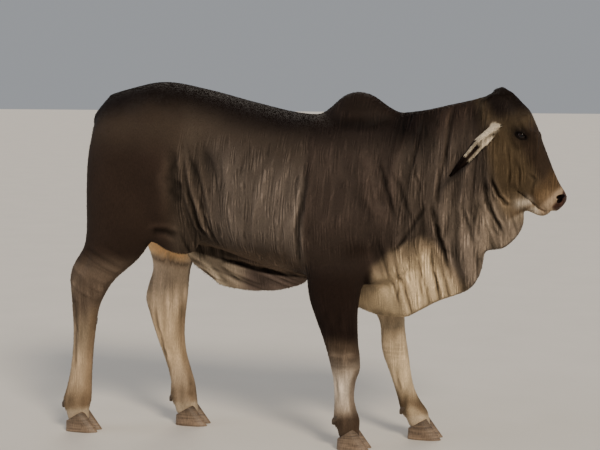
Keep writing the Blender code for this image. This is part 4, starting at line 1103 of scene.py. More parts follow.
def leg_layers(points, normals, wander):
    """Colours laid over the body's on the legs, the groin's bare skin and the tail."""
    x, y, z = points.T
    fore, hind, front = leg_shares(points)
    near, far = (y < 0).astype(float), (y > 0).astype(float)
    inner = ramp(-normals[:, 1] * np.sign(y), 0.0, 0.6)
    ahead = ramp(normals[:, 0], 0.2, 0.8)
    yield "2A1F1A", near * fore
    yield "4E4034", near * fore * ramp(0.45 - z + 0.01 * wander, 0, 0.06)
    yield "AE9A84", near * fore * ramp(0.340 - z + 0.012 * wander, 0, 0.07)
    # The shank's pale hair, with its brightest band a painted highlight of sunlight.
    yield "E2D0BB", near * fore * bell(z - 0.235, 0.070)
    knee = bell(z - 0.365 + 0.010 * wander, 0.022) * (0.5 + 0.8 * noise(points * [45, 30, 30], 26))
    yield "8A7866", 0.8 * near * fore * knee * (1 - ahead)
    shin = ramp(x - front + 0.026, 0, 0.016)
    yield "6B5A4B", 0.75 * near * fore * shin * ramp(0.33 - z, 0, 0.03)
    yield "47372B", 0.9 * near * fore * ramp(0.165 - z + 0.012 * wander, 0, 0.04)
    # The far fore leg's pale hair, painted paler and higher than the near leg's as painted sunlight.
    yield "B29D80", far * fore * ramp(0.60 + 0.10 * inner - z + 0.02 * wander, 0, 0.14)
    yield "D8C09C", 0.9 * far * fore * bell(z - 0.26, 0.11)
    yield "5F4C38", 0.9 * far * fore * bell(z - 0.135 + 0.01 * wander, 0.048)
    yield "66574A", near * hind * ramp(0.74 - z + 0.012 * wander, 0, 0.10)
    yield "94826B", near * hind * ramp(0.54 - z + 0.012 * wander, 0, 0.14)
    yield "C2A888", near * hind * ramp(0.38 - z, 0, 0.14)
    sinew = np.interp(z, [0.20, 0.40, 0.55, 0.70], [-0.790, -0.800, -0.815, -0.760]) + 0.008 * wander
    sinew = bell(x - sinew, 0.014) * ramp(z, 0.30, 0.40) * ramp(0.66 - z, 0, 0.10)
    yield "A08C76", 0.55 * near * hind * sinew
    # The far hind leg's pale hair, painted paler and higher than the near leg's as painted sunlight.
    yield "D2BA9E", far * hind * ramp(0.66 + 0.16 * inner - z + 0.02 * wander, 0, 0.14)
    yield "CFB490", 0.9 * far * hind * bell(z - 0.33 + 0.02 * wander, 0.16)
    yield "5E4B38", 0.6 * hind * bell(z - 0.130 + 0.01 * wander, 0.045)
    yield "6B5742", 0.6 * hind * ahead * ramp(0.55 - z, 0, 0.1)
    yield "8E7A62", 0.6 * inner * near * (fore + hind) * ramp(0.72 - z, 0, 0.1)
    # The groin's bare skin: its own tan, painted much brighter than that as painted sunlight under the belly.
    sloped = z + 0.2 * (x + 0.52)
    bare = ramp(x, -0.67, -0.61) * ramp(-0.40 - x, 0, 0.05)
    bare *= ramp(sloped, 0.672, 0.700) * ramp(0.88 - z, 0, 0.05)
    # Painted shade: a dark line just below the bare skin, on the inner side of the far thigh.
    yield "46352A", 0.7 * far * hind * inner * bell(sloped - 0.668, 0.012)
    yield "FFCF94", bare * (far * inner + 0.8 * near * inner) * ramp(np.abs(y), 0.0, 0.03)
    yield "C2AE92", 0.85 * (1 - near * fore) * ramp(0.105 - z, 0, 0.02) * ramp(z, 0.02, 0.05)
    yield "241B16", tail_share(points)


def head_layers(points, wander):
    """Colours laid over the others on the head: dark brow, tan muzzle, pale lips and a black nose, with
    painted shade inside the nostrils.
    """
    x, y, z = points.T
    along, up = head_frame(points)
    head = head_share(points)
    jaw_line, _ = to_line(points, [(0.915, 0.940), (0.948, 0.952)])
    yield "524534", head
    yield "3B2F25", head * ramp(along, 0.15, 0.20) * ramp(up, -0.02, 0.03)
    yield "231B17", head * ramp(0.140 - along + 0.3 * up + 0.006 * wander, 0, 0.07) * ramp(up, -0.06, 0.0)
    yield "524432", 0.8 * head * bell(np.hypot((along - 0.30) / 0.10, (up + 0.06) / 0.05), 1)
    yield "75644F", head * ramp(1.00 - z, 0, 0.06) * ramp(0.93 - x, 0, 0.03)
    yield "5C4934", head * ramp(along + 0.35 * (up - 0.02) + 0.006 * wander, 0.350, 0.400)
    yield "79634A", head * ramp(along - 0.4 * np.abs(up) + 0.004 * wander, 0.392, 0.425)
    yield "BBA286", 0.85 * head * ramp(along + 0.25 * up, 0.432, 0.452)
    yield "4A332A", head * ramp(along + 0.35 * up - 0.25 * np.abs(y), 0.452, 0.464) * ramp(up, -0.012, 0.006)
    # Painted shade inside each nostril's sunk bowl.
    nostril = ramp(1.15 - np.minimum(*from_nostrils(points)), 0, 0.25) * (np.abs(y) > 0.022)
    yield "160C0A", head * nostril
    yield "C4B49F", head * bell(jaw_line, 0.017)
    yield "C0B09A", head * ramp(along, 0.435, 0.45) * ramp(-up, 0.046, 0.056)


def eye_layers(points, side):
    """Painted shade in the hollow about the eye, and nearly black lids, as ovals that slant with the lids."""
    x, y, z = points.T
    centre = head_point(*EYE_PLACE, side * EYE_OUT)
    p, q = turned(x - centre[0], z - centre[2], EYE_SLANT)
    beside = ramp(y * side, 0.05, 0.07) * head_share(points)
    # Painted shade in the hollow about the eye, reaching above and behind it.
    yield "130D0A", 0.95 * beside * bell(np.hypot((p + 0.006) / 0.044, (q - 0.008) / 0.024), 1)
    yield "100B09", 0.95 * beside * ramp(1.35 - np.hypot(p / EYE_HALF_LENGTH, q / EYE_RISE), 0, 0.25)


def ear_layers(points, side):
    """A dark ear with a pale rim that widens towards its root, and a black tip."""
    x, y, z = points.T
    near_ear = np.flatnonzero((y * side > 0.06) & (x > 0.66) & (x < 0.90) & (z > 1.02) & (z < 1.28))
    rim_a, rim_b, middle = ear_lines(side)
    some = points[near_ear]
    spine = middle[::4]
    place = np.linalg.norm(some[:, None] - spine, axis=2).argmin(1) / (len(spine) - 1)
    leaf = ramp(0.050 - to_points(some, middle[::3]), 0, 0.008) * ramp(np.abs(some[:, 1]), 0.094, 0.104)
    reach = 0.013 + 0.030 * ramp(0.62 - place, 0, 0.10)
    rim = ramp(reach - np.minimum(to_points(some, rim_a), to_points(some, rim_b)), 0, 0.007)
    for code, share in (
        ("2A1F19", 1.0),
        ("DCCDB4", rim * ramp(place, 0.10, 0.18) * ramp(0.80 - place, 0, 0.05)),
        ("140D0A", ramp(place, 0.75, 0.81)),
    ):
        on_leaf = np.zeros(len(points))
        on_leaf[near_ear] = leaf * share
        yield code, on_leaf


def markings(points, normals):
    """The coat's linear colour at points of the hide: each layer goes its share of the way to its own."""
    x, y, z = points.T
    wander = noise(points * 9, 21) + 0.5 * noise(points * 23, 22)
    layers = [*body_layers(points, normals, wander), *leg_layers(points, normals, wander)]
    layers += head_layers(points, wander)
    for side in SIDES.values():
        layers += [*eye_layers(points, side), *ear_layers(points, side)]
    colour = np.tile(linear("70645A"), (len(points), 1))
    for code, share in layers:
        colour += np.clip(share, 0, 1)[:, None] * (linear(code) - colour)
    _, hind, _ = leg_shares(points)
    legs = ramp(0.66 - z, 0, 0.10) * np.maximum(hind, ramp(0.56 - z, 0, 0.06))
    streak = noise(np.column_stack([x / 0.016, y / 0.030, z / 0.13]), 24)
    streak += 0.6 * noise(points * [40, 40, 22], 25)
    shade = 1 + 0.10 * wander + 0.34 * legs * streak
    return COAT_TONE * colour * shade[:, None]


def painted_fold_light(points, normals):
    """Painted light and shade on the hide's relief: how much lighter rolls and darker grooves are painted
    than the coat about them.
    """
    rise = creased(points, normals) + folded(points, normals)
    return np.where(rise > 0, 1 + np.minimum(190 * rise, 0.75), np.maximum(1 + 110 * rise, 0.30))


def looseness(points):
    """How wrinkled the hide is: one on the neck, dewlap and flank, less on shoulder, cheek and legs."""
    x, y, z = points.T
    loose = ramp(x, 0.40, 0.50) * (1 - 0.75 * head_share(points))
    loose = np.maximum(loose, ramp(x, -0.38, -0.33) * ramp(0.20 - x, 0, 0.05) * ramp(1.24 - z, 0, 0.15))
    loose = np.maximum(loose, 0.55 * ramp(x, 0.15, 0.20) * ramp(z, 0.70, 0.80)) * ramp(z, 0.45, 0.60)
    loose = loose * (1 - 0.75 * ramp(0.70 - z, 0, 0.03) * ramp(0.15 - x, 0, 0.05))
    legs = ramp(0.66 - z, 0, 0.1) * ramp(z, 0.10, 0.16) * ramp(np.abs(y), 0.03, 0.05)
    return np.maximum(loose, 0.30 * legs)


def colour_points(piece, colour, loose=1.0):
    """Stores a linear colour at each point, with how loose the hide is as its alpha."""
    layer = piece.data.color_attributes.new("coat", "FLOAT_COLOR", "POINT")
    rows = np.column_stack([colour, np.broadcast_to(loose, len(colour))])
    layer.data.foreach_set("color", rows.ravel().astype(np.float32))


# Clipped cattle hide: hair of 5 to 10 mm that lies close, so the sheen is soft and the grain
# fine. The hair's grain is drawn 2 mm wide and 14 mm long, coarser than real hair, to show.
HAIR_WIDTH = 0.0020
HAIR_LENGTH = 0.014
hide_coat, hide_tree, hide_shader = material("clipped_cattle_hide", 0.58, Specular_IOR_Level=0.06)
coat_colour = add_node(hide_tree, "ShaderNodeAttribute", {"attribute_name": "coat"})
coat_place = add_node(hide_tree, "ShaderNodeTexCoord")
hair_place = add_node(
    hide_tree,
    "ShaderNodeMapping",
    Vector=coat_place.outputs["Object"],
    Rotation=(0, math.radians(-12), 0),
    Scale=(1 / HAIR_WIDTH, 1 / HAIR_WIDTH, 1 / HAIR_LENGTH),
)
hair = add_node(
    hide_tree,
    "ShaderNodeTexNoise",
    Vector=hair_place.outputs["Vector"],
    Scale=1.0,
    Detail=3.0,
    Roughness=0.6,
)
# Wrinkles too fine for the mesh: thin ridges down the folds, about 13 mm apart, with grooves between
# them, bent by the wave's own noise and broken into lengths by another noise. They are a bump, and
# also painted into the colour: a painted highlight on each ridge and painted shade in each groove.
WRINKLE_SPACING = 0.013
WRINKLE_LENGTH = 0.12
WAVE_PERIOD = 0.314
line_place = add_node(
    hide_tree,
    "ShaderNodeMapping",
    Vector=coat_place.outputs["Object"],
    Rotation=(0, math.radians(-6), 0),
    Scale=(WAVE_PERIOD / WRINKLE_SPACING, WAVE_PERIOD / 0.05, WAVE_PERIOD / WRINKLE_LENGTH),
)
wave = add_node(
    hide_tree,
    "ShaderNodeTexWave",
    {"wave_type": "BANDS", "bands_direction": "X"},
    Vector=line_place.outputs["Vector"],
    Scale=1.0,
    Distortion=12.0,
    Detail=2.0,
    Detail_Scale=1.6,
    Detail_Roughness=0.5,
)
crest = add_node(
    hide_tree,
    "ShaderNodeMapRange",
    {"interpolation_type": "SMOOTHSTEP"},
    Value=wave.outputs["Fac"],
    From_Min=0.60,
    From_Max=1.0,
)
groove = add_node(
    hide_tree,
    "ShaderNodeMapRange",
    {"interpolation_type": "SMOOTHSTEP"},
    Value=wave.outputs["Fac"],
    From_Min=0.35,
    From_Max=0.0,
    To_Max=0.55,
)
fold_line = add_node(
    hide_tree,
    "ShaderNodeMath",
    {"operation": "SUBTRACT"},
    _0=crest.outputs["Result"],
    _1=groove.outputs["Result"],
)
broken_place = add_node(
    hide_tree,
    "ShaderNodeMapping",
    Vector=coat_place.outputs["Object"],
    Scale=(1 / 0.026, 1 / 0.05, 1 / 0.060),
)
broken = add_node(
    hide_tree, "ShaderNodeTexNoise", Vector=broken_place.outputs["Vector"], Scale=1.0, Detail=2.0
)
shown = add_node(
    hide_tree,
    "ShaderNodeMapRange",
    {"interpolation_type": "SMOOTHSTEP"},
    Value=broken.outputs["Fac"],
    From_Min=0.42,
    From_Max=0.62,
)
line = add_node(
    hide_tree,
    "ShaderNodeMath",
    {"operation": "MULTIPLY"},
    _0=fold_line.outputs["Value"],
    _1=shown.outputs["Result"],
)
loose_line = add_node(
    hide_tree,
    "ShaderNodeMath",
    {"operation": "MULTIPLY"},
    _0=line.outputs["Value"],
    _1=coat_colour.outputs["Alpha"],
)
hair_shade = add_node(
    hide_tree,
    "ShaderNodeMapRange",
    Value=hair.outputs["Fac"],
    From_Min=0.3,
    From_Max=0.7,
    To_Min=0.78,
    To_Max=1.24,
)
wrinkle_painted_light = add_node(
    hide_tree,
    "ShaderNodeMapRange",
    {"clamp": False},
    Value=loose_line.outputs["Value"],
    To_Min=0.97,
    To_Max=1.75,
)
shade = add_node(
    hide_tree,
    "ShaderNodeMath",
    {"operation": "MULTIPLY"},
    _0=hair_shade.outputs["Result"],
    _1=wrinkle_painted_light.outputs["Result"],
)
tinted = add_node(
    hide_tree,
    "ShaderNodeVectorMath",
    {"operation": "SCALE"},
    _0=coat_colour.outputs["Color"],
    Scale=shade.outputs["Value"],
)
hide_tree.links.new(tinted.outputs["Vector"], hide_shader.inputs["Base Color"])
line_relief = add_node(
    hide_tree, "ShaderNodeBump", Strength=0.6, Distance=0.0020, Height=loose_line.outputs["Value"]
)
relief = add_node(
    hide_tree,
    "ShaderNodeBump",
    Strength=0.4,
    Distance=0.0010,
    Height=hair.outputs["Fac"],
    Normal=line_relief.outputs["Normal"],
)
hide_tree.links.new(relief.outputs["Normal"], hide_shader.inputs["Normal"])
gloss = add_node(
    hide_tree,
    "ShaderNodeMapRange",
    Value=hair.outputs["Fac"],
    From_Min=0.3,
    From_Max=0.7,
    To_Min=0.50,
    To_Max=0.64,
)
hide_tree.links.new(gloss.outputs["Result"], hide_shader.inputs["Roughness"])

hide.data.materials.clear()
hide.data.materials.append(hide_coat)
hide.data.shade_smooth()
points, normals = points_of(hide), normals_of(hide)
colour_points(hide, markings(points, normals) * painted_fold_light(points, normals)[:, None], looseness(points))
corners = np.empty(len(hide.data.loops), np.int32)
hide.data.loops.foreach_get("vertex_index", corners)
skin_points, skin_normals, skin_corners = points, normals, corners.reshape(-1, 3)
FLESH = [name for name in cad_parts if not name.startswith("eye_") and "claw" not in name]
FLESH.remove("tail_switch")
move_points(hide, points + FRAME_SHIFT)
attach(hide, "root")
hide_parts(*FLESH)

# The coat's loose hair: short clipped hair lies flat, so tufts stand only where it breaks the
# outline and thinly elsewhere. Each is a closed three-sided spike rooted in the hide, and lies
# with the coat, down and back. All are drawn from one seeded chance.

TUFT_LENGTH = 0.0080
EDGE_EXTRA, POLL_EXTRA, FETLOCK_EXTRA, RIM_EXTRA = 0.0030, 0.0040, 0.0080, 0.0030
FACE_CUT, MUZZLE_CUT, LEG_CUT = 0.0030, 0.0020, 0.0025
TUFT_HALF_WIDTH = 0.0009
TUFT_HALF_DEPTH = 0.0004
TUFT_SUNK = 0.0018
TUFT_SWAY = math.radians(14)
TUFT_SIDES = [(0, 1, 4), (0, 4, 3), (1, 2, 5), (1, 5, 4), (2, 0, 3), (2, 3, 5)]
TUFT_FACES = np.array([(0, 2, 1)] + TUFT_SIDES + [(3, 4, 6), (4, 5, 6), (5, 3, 6)])
# Painted light on the tufts and lashes: tips painted lighter than roots, to offset their own shade.
TUFT_TIP_LIGHT = (1.0, 1.0, 1.0, 1.12, 1.12, 1.12, 1.25)
HALF_PATCH = 0.0015
TUFT_PATCH = HALF_PATCH * np.array([(-1, -1), (1, -1), (0, -1), (-1, 0), (1, 0), (0, 0), (0, 1)])
COAT_PIECES = {
    "coat_head": 16000,
    "coat_neck": 17500,
    "coat_barrel": 17500,
    "coat_quarters": 17500,
    "coat_legs": 19000,
}


def on_ears(points):
    """True on the hanging part of the ears."""
    return (np.abs(points[:, 1]) > 0.115) & (points[:, 0] > 0.66) & (points[:, 2] > 1.0)


def unwrapped(points):
    """Each point's place on an unwrap of the hide.

    The body is unrolled about a line down its middle, each leg about its own, and the ears and tail
    each have a strip of their own, so that no two places of the hide share one of the unwrap.
    """
    x, y, z = points.T
    axis = np.interp(x, [-0.80, 0.45, 0.80, 0.95], [0.98, 0.92, 1.10, 1.00])
    turn = np.arctan2(y, z - axis) / (2 * np.pi) + 0.5
    place = np.column_stack([0.02 + 0.48 * (x + 0.9), 0.02 + 0.46 * turn])
    for k, (name, rows) in enumerate(LEGS.items()):
        rows = np.array(rows)
        middle = np.interp(z, rows[:, 0], (rows[:, 1] + rows[:, 2]) / 2)
        beside = np.interp(z, rows[:, 0], rows[:, 4])
        top = 0.66 if "fore" in name else 0.80
        on = (z < top) & (np.abs(x - middle) < 0.11) & (np.abs(y - beside) < 0.075)
        turn = np.arctan2(y - beside, x - middle) / (2 * np.pi) + 0.5
        place[on] = np.column_stack([0.02 + 1.1 * z, 0.52 + 0.09 * k + 0.08 * turn])[on]
    ears = on_ears(points)
    turn = np.arctan2(x - 0.77, np.abs(y) - 0.15) / (2 * np.pi) + 0.5
    place[ears] = np.column_stack([0.02 + 0.45 * (y > 0) + 1.5 * (z - 1.0), 0.89 + 0.04 * turn])[ears]
    tail = tail_share(points) > 0.5
    turn = np.arctan2(y - 0.008, x + 0.80) / (2 * np.pi) + 0.5
    place[tail] = np.column_stack([0.02 + 0.9 * (1.36 - z), 0.945 + 0.04 * turn])[tail]
    return place


def hair_piece(name, points, faces, colours, shades, roots, patch, facings=None):
    """One mesh of many like closed hairs, each with its colour and its root's patch of the unwrap.

    Hair that lies on the hide takes the hide's facing, tilted to each side, to shade with it.
    """
    count, size = points.shape[:2]
    faces = (faces + size * np.arange(count)[:, None, None]).reshape(-1, faces.shape[1])
    made = mesh_piece(name, points.reshape(-1, 3) + FRAME_SHIFT, faces)
    colour_points(made, (colours[:, None] * np.array(shades)[:, None]).reshape(-1, 3), 0.0)
    place = (unwrapped(roots)[:, None] + patch).reshape(-1, 2)
    unwrap = made.data.uv_layers.new(name="OFBake")
    unwrap.data.foreach_set("uv", place[faces.ravel()].ravel().astype(np.float32))
    if facings is not None:
        made.data.normals_split_custom_set_from_vertices(facings.reshape(-1, 3))
    return made


def spikes(roots, outwards, lies, lengths, lifts, wide):
    """Three-sided spikes that rise by their lift and bend back to lie along the hide."""
    beside = np.cross(outwards, lies)
    along, rise = lengths[:, None] * lies, (lengths * np.tan(lifts))[:, None] * outwards
    start = roots - TUFT_SUNK * outwards
    middle = roots + 0.48 * along + 0.75 * rise
    tip = roots + along + 0.90 * rise
    w, d = wide * TUFT_HALF_WIDTH, TUFT_HALF_DEPTH
    ring = [w[:, None] * beside, d * 2 * outwards, -w[:, None] * beside]
    rows = [start + part for part in ring] + [middle + 0.8 * part for part in ring] + [tip]
    return np.stack(rows, 1)


def lie_of(points, normals):
    """The way the coat lies: back and down the body, back along the spine, down the legs and face."""
    x, y, z = points.T
    head, tail = head_share(points), tail_share(points)
    on_top = ramp(normals[:, 2], 0.3, 0.9)[:, None]
    way = np.array([-0.6, 0, -0.8]) + on_top * np.array([-0.6, 0, 0.7])
    way = way + ramp(x, 0.40, 0.55)[:, None] * np.array([0.25, 0, -0.1]) * (1 - on_top)
    leg = np.maximum(ramp(0.62 - z, 0, 0.1) * ramp(x, -0.2, -0.3), ramp(0.56 - z, 0, 0.08))[:, None]
    way = way + leg * (np.array([-0.12, 0, -1.0]) - way)
    way = way + head[:, None] * (HEAD_AHEAD * 0.9 + np.array([-0.25, 0, 0]) - way)
    way = way + tail[:, None] * (np.array([0, 0, -1.0]) - way)
    hang = unit(np.array(EAR_PATH[-1]) - np.array(EAR_PATH[0]))
    hang = hang * np.column_stack([1 + 0 * x, np.sign(y), 1 + 0 * x])
    way = np.where(on_ears(points)[:, None], hang, way)
    way = way - normals * (way * normals).sum(1)[:, None]
    return way / np.maximum(np.linalg.norm(way, axis=1), 1e-6)[:, None]


def fringe(points, normals):
    """How far the hair breaks the outline, and the shares of it at the fetlocks and the ears' rims.

    It does along the crest and poll, the undersides, the backs of the legs, the tail and the ears.
    """
    y, z = points[:, 1:].T
    on_top = ramp(normals[:, 2], 0.55, 0.95)
    below = ramp(-normals[:, 2], 0.45, 0.85) * ramp(z, 0.40, 0.44)
    behind = ramp(-normals[:, 0], 0.4, 0.9) * ramp(0.75 - z, 0, 0.1)
    fetlock = bell(z - 0.115, 0.030) * ramp(-normals[:, 0], -0.2, 0.6)
    rims = np.zeros(len(points))
    for side in SIDES.values():
        ear = np.flatnonzero(on_ears(points) & (y * side > 0))
        rim_a, rim_b, _ = ear_lines(side)
        apart = np.minimum(to_points(points[ear], rim_a), to_points(points[ear], rim_b))
        rims[ear] = ramp(0.010 - apart, 0, 0.004)
    edge = 0.8 * on_top + below + 0.8 * behind + fetlock + rims + 0.6 * tail_share(points)
    return np.clip(edge, 0, 1), fetlock, rims


def barely(points):
    """Where no hair grows: the nose, lips and eyes, the skin of the groin and the hooves' seats."""
    x, y, z = points.T
    along, up = head_frame(points)
    bald = head_share(points) * ramp(along + 0.35 * up, 0.445, 0.460)
    lips = ramp(0.006 - to_line(points, MOUTH_LINE)[0], 0, 0.003) * ramp(along, 0.32, 0.34)
    bald = np.maximum(bald, lips)
    for side in SIDES.values():
        apart = np.linalg.norm(points - head_point(*EYE_PLACE, side * EYE_OUT), axis=1)
        bald = np.maximum(bald, ramp(0.030 - apart, 0, 0.004))
    groin = ramp(x, -0.67, -0.61) * ramp(-0.40 - x, 0, 0.05) * ramp(0.11 - np.abs(y), 0, 0.03)
    bald = np.maximum(bald, groin * ramp(z, 0.62, 0.67) * ramp(0.88 - z, 0, 0.05))
    return np.maximum(bald, 1 - ramp(z, 0.085, 0.092))


chance = np.random.default_rng(23)
tip_a, tip_b, tip_c = (skin_points[skin_corners[:, k]] for k in range(3))
areas = np.linalg.norm(np.cross(tip_b - tip_a, tip_c - tip_a), axis=1) / 2
centres = (tip_a + tip_b + tip_c) / 3
facings = skin_normals[skin_corners].mean(1)
x, y, z = centres.T
on_leg = (z < 0.62) & ((x < -0.34) | (z < 0.42) | (np.abs(y) > 0.07))
on_leg &= (x < 0.33) | (z < 0.45) | (np.abs(y) > 0.08)
head_part = ((head_share(centres) > 0.5) | on_ears(centres)) & ~on_leg
rest_part = ~head_part & ~on_leg
REGIONS = {
    "coat_head": head_part,
    "coat_neck": rest_part & (x > 0.36),
    "coat_barrel": rest_part & (x <= 0.36) & (x > -0.28),
    "coat_quarters": rest_part & (x <= -0.28),
    "coat_legs": on_leg,
}
share = (0.16 + 0.84 * fringe(centres, facings)[0]) * (1 - barely(centres)) * areas
for name, count in COAT_PIECES.items():
    weight = np.where(REGIONS[name], share, 0)
    picked = chance.choice(len(weight), count, p=weight / weight.sum())
    mix = chance.dirichlet((1, 1, 1), count)
    roots = (skin_points[skin_corners[picked]] * mix[:, :, None]).sum(1)
    outwards = unit((skin_normals[skin_corners[picked]] * mix[:, :, None]).sum(1))
    lies = lie_of(roots, outwards)
    sway = chance.normal(0, TUFT_SWAY, count)[:, None]
    lies = lies * np.cos(sway) + np.cross(outwards, lies) * np.sin(sway)
    edge, fetlock, rims = fringe(roots, outwards)
    head, (along, up) = head_share(roots), head_frame(roots)
    poll = head * ramp(0.10 - along, 0, 0.05)
    lengths = TUFT_LENGTH + EDGE_EXTRA * edge + POLL_EXTRA * poll + FETLOCK_EXTRA * fetlock + RIM_EXTRA * rims
    lengths -= FACE_CUT * head * (1 - poll) + MUZZLE_CUT * head * ramp(along, 0.30, 0.42)
    lengths -= LEG_CUT * ramp(0.50 - roots[:, 2], 0, 0.1)
    lengths *= chance.uniform(0.75, 1.25, count)
    lifts = 6 + 5 * edge - 4 * ramp(outwards[:, 2], 0.6, 0.9) + 4 * poll
    lifts = np.radians(lifts + chance.uniform(-2, 2, count))
    points = spikes(roots, outwards, lies, lengths, lifts, chance.uniform(0.7, 1.2, count))
    colours = markings(roots, outwards) * painted_fold_light(roots, outwards)[:, None]
    colours *= chance.uniform(0.82, 1.18, count)[:, None]
    tilt = 0.45 * np.cross(outwards, lies)
    shown = unit(np.stack([outwards + tilt, outwards, outwards - tilt] * 2 + [outwards + 0.2 * lies], 1))
    coat = hair_piece(name, points, TUFT_FACES, colours, TUFT_TIP_LIGHT, roots, TUFT_PATCH, shown)
    coat.data.materials.append(hide_coat)
    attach(coat, "root")

# The lashes: a row of stiff dark hairs on each upper lid, drooping over the eye.

LASHES = 30
LASH_LENGTH = 0.017
LASH_LIFT = math.radians(22)
LASH_TO_TUFT_WIDTH = 0.45
chance = np.random.default_rng(31)
roots, lies, outwards = [], [], []
for side in SIDES.values():
    at = np.linspace(-0.70, 0.85, LASHES) * EYE_HALF_LENGTH
    rise = EYE_RISE * (1 - (at / EYE_HALF_LENGTH) ** 2) ** 0.75 + 0.0015
    level = np.array([math.cos(EYE_SLANT), 0, math.sin(EYE_SLANT)])
    upward = np.array([-math.sin(EYE_SLANT), 0, math.cos(EYE_SLANT)])
    flat = at[:, None] * level + rise[:, None] * upward
    depth = np.sqrt((EYE_RADIUS + LID_EDGE) ** 2 - (flat**2).sum(1))
    roots.append(head_point(*EYE_PLACE, side * EYE_OUT) + flat + depth[:, None] * np.array([0, side, 0]))
    spread = (0.25 + 0.45 * at / EYE_HALF_LENGTH)[:, None]
    lies.append(np.array([0, 0.62 * side, -0.45]) + spread * level)
    outwards.append(np.tile(upward * 0.8 + np.array([0, 0.6 * side, 0]), (LASHES, 1)))
roots, lies, outwards = np.concatenate(roots), unit(np.concatenate(lies)), np.concatenate(outwards)
outwards = unit(outwards - lies * (outwards * lies).sum(1)[:, None])
lengths = LASH_LENGTH * chance.uniform(0.7, 1.1, 2 * LASHES)
lifts, wide = np.full(2 * LASHES, LASH_LIFT), np.full(2 * LASHES, LASH_TO_TUFT_WIDTH)
points = spikes(roots, outwards, lies, lengths, lifts, wide)
colours = np.tile(linear("120D0B"), (2 * LASHES, 1))
lashes = hair_piece("lashes", points, TUFT_FACES, colours, TUFT_TIP_LIGHT, roots, TUFT_PATCH)
lashes.data.materials.append(hide_coat)
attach(lashes, "root")

# The switch: the tail's end tuft of long coarse hair, nearly black, as some hundreds of flattened
# tapering locks that grow from the tail's last third and hang close, their tips of many lengths.

SWITCH_LOCKS = 300
SWITCH_ROOTS = (0.668, 0.450)
SWITCH_TIPS = (0.337, 0.470)
SWITCH_REACH = 0.036
LOCK_RINGS = 7
LOCK_HALF_WIDTH = 0.0034
LOCK_HALF_DEPTH = 0.0013
LOCK_CORE = 0.009
TIP_DRAW = 0.022
GOLDEN_ANGLE = 2.39996
switch_x, switch_y = TAIL_PATH[-1][:2]
chance = np.random.default_rng(29)
turn = GOLDEN_ANGLE * np.arange(SWITCH_LOCKS) + chance.uniform(-0.3, 0.3, SWITCH_LOCKS)
depth = chance.uniform(0, 1, SWITCH_LOCKS)
starts = SWITCH_ROOTS[0] + (SWITCH_ROOTS[1] - SWITCH_ROOTS[0]) * depth
ends = SWITCH_TIPS[0] + (SWITCH_TIPS[1] - SWITCH_TIPS[0]) * chance.uniform(0, 1, SWITCH_LOCKS) ** 2.2
ends = np.minimum(ends, starts - 0.07)
away = np.column_stack([np.cos(turn), np.sin(turn), 0 * turn])
t = np.linspace(0, 1, LOCK_RINGS + 1)
reach = SWITCH_REACH * chance.uniform(0.35, 1.0, SWITCH_LOCKS)
out = LOCK_CORE + (reach - LOCK_CORE)[:, None] * np.sin(np.pi * t**0.8) ** 0.9
waver = 0.0022 * np.sin(7 * t + chance.uniform(0, 6, SWITCH_LOCKS)[:, None])
line = np.array([switch_x, switch_y, 0]) + out[:, :, None] * away[:, None]
line[:, :, 0] += waver - TIP_DRAW * t**2
line[:, :, 2] += starts[:, None] + (ends - starts)[:, None] * t
way = unit(np.gradient(line, axis=1))
beside = unit(np.cross(way, away[:, None]))
outwards = np.cross(beside, way)
taper = (np.sqrt(1 - 0.9 * t[:-1] ** 1.5) * chance.uniform(0.7, 1.15, SWITCH_LOCKS)[:, None])[:, :, None]
wide, deep = LOCK_HALF_WIDTH * taper * beside[:, :-1], LOCK_HALF_DEPTH * taper * outwards[:, :-1]
body = line[:, :-1, None] + np.stack([wide, deep, -wide, -deep], 2)
locks = np.concatenate([body.reshape(SWITCH_LOCKS, -1, 3), line[:, -1:]], axis=1)
ring = np.arange(4)
after = (ring + 1) % 4
walls = np.column_stack([ring, after, 4 + after, 4 + ring])
walls = np.concatenate([4 * k + walls for k in range(LOCK_RINGS - 1)])
walls = np.concatenate([walls[:, [0, 1, 2]], walls[:, [0, 2, 3]]])
last = 4 * (LOCK_RINGS - 1)
tips = np.column_stack([last + ring, last + after, np.full(4, 4 * LOCK_RINGS)])
lock_faces = np.concatenate([[(0, 2, 1), (0, 3, 2)], walls, tips])
across = np.tile([-1, 0, 1, 0], LOCK_RINGS)
patch = np.column_stack([across, np.repeat(np.linspace(-1, 1, LOCK_RINGS), 4)])
lock_patch = HALF_PATCH * np.concatenate([patch, [(0, 1)]])
shades = np.append(np.repeat(np.linspace(0.9, 1.25, LOCK_RINGS), 4), 1.3)
colours = linear("1D1511") * chance.uniform(0.6, 1.6, SWITCH_LOCKS)[:, None]
switch = hair_piece("switch_locks", locks, lock_faces, colours, shades, line[:, 0], lock_patch)

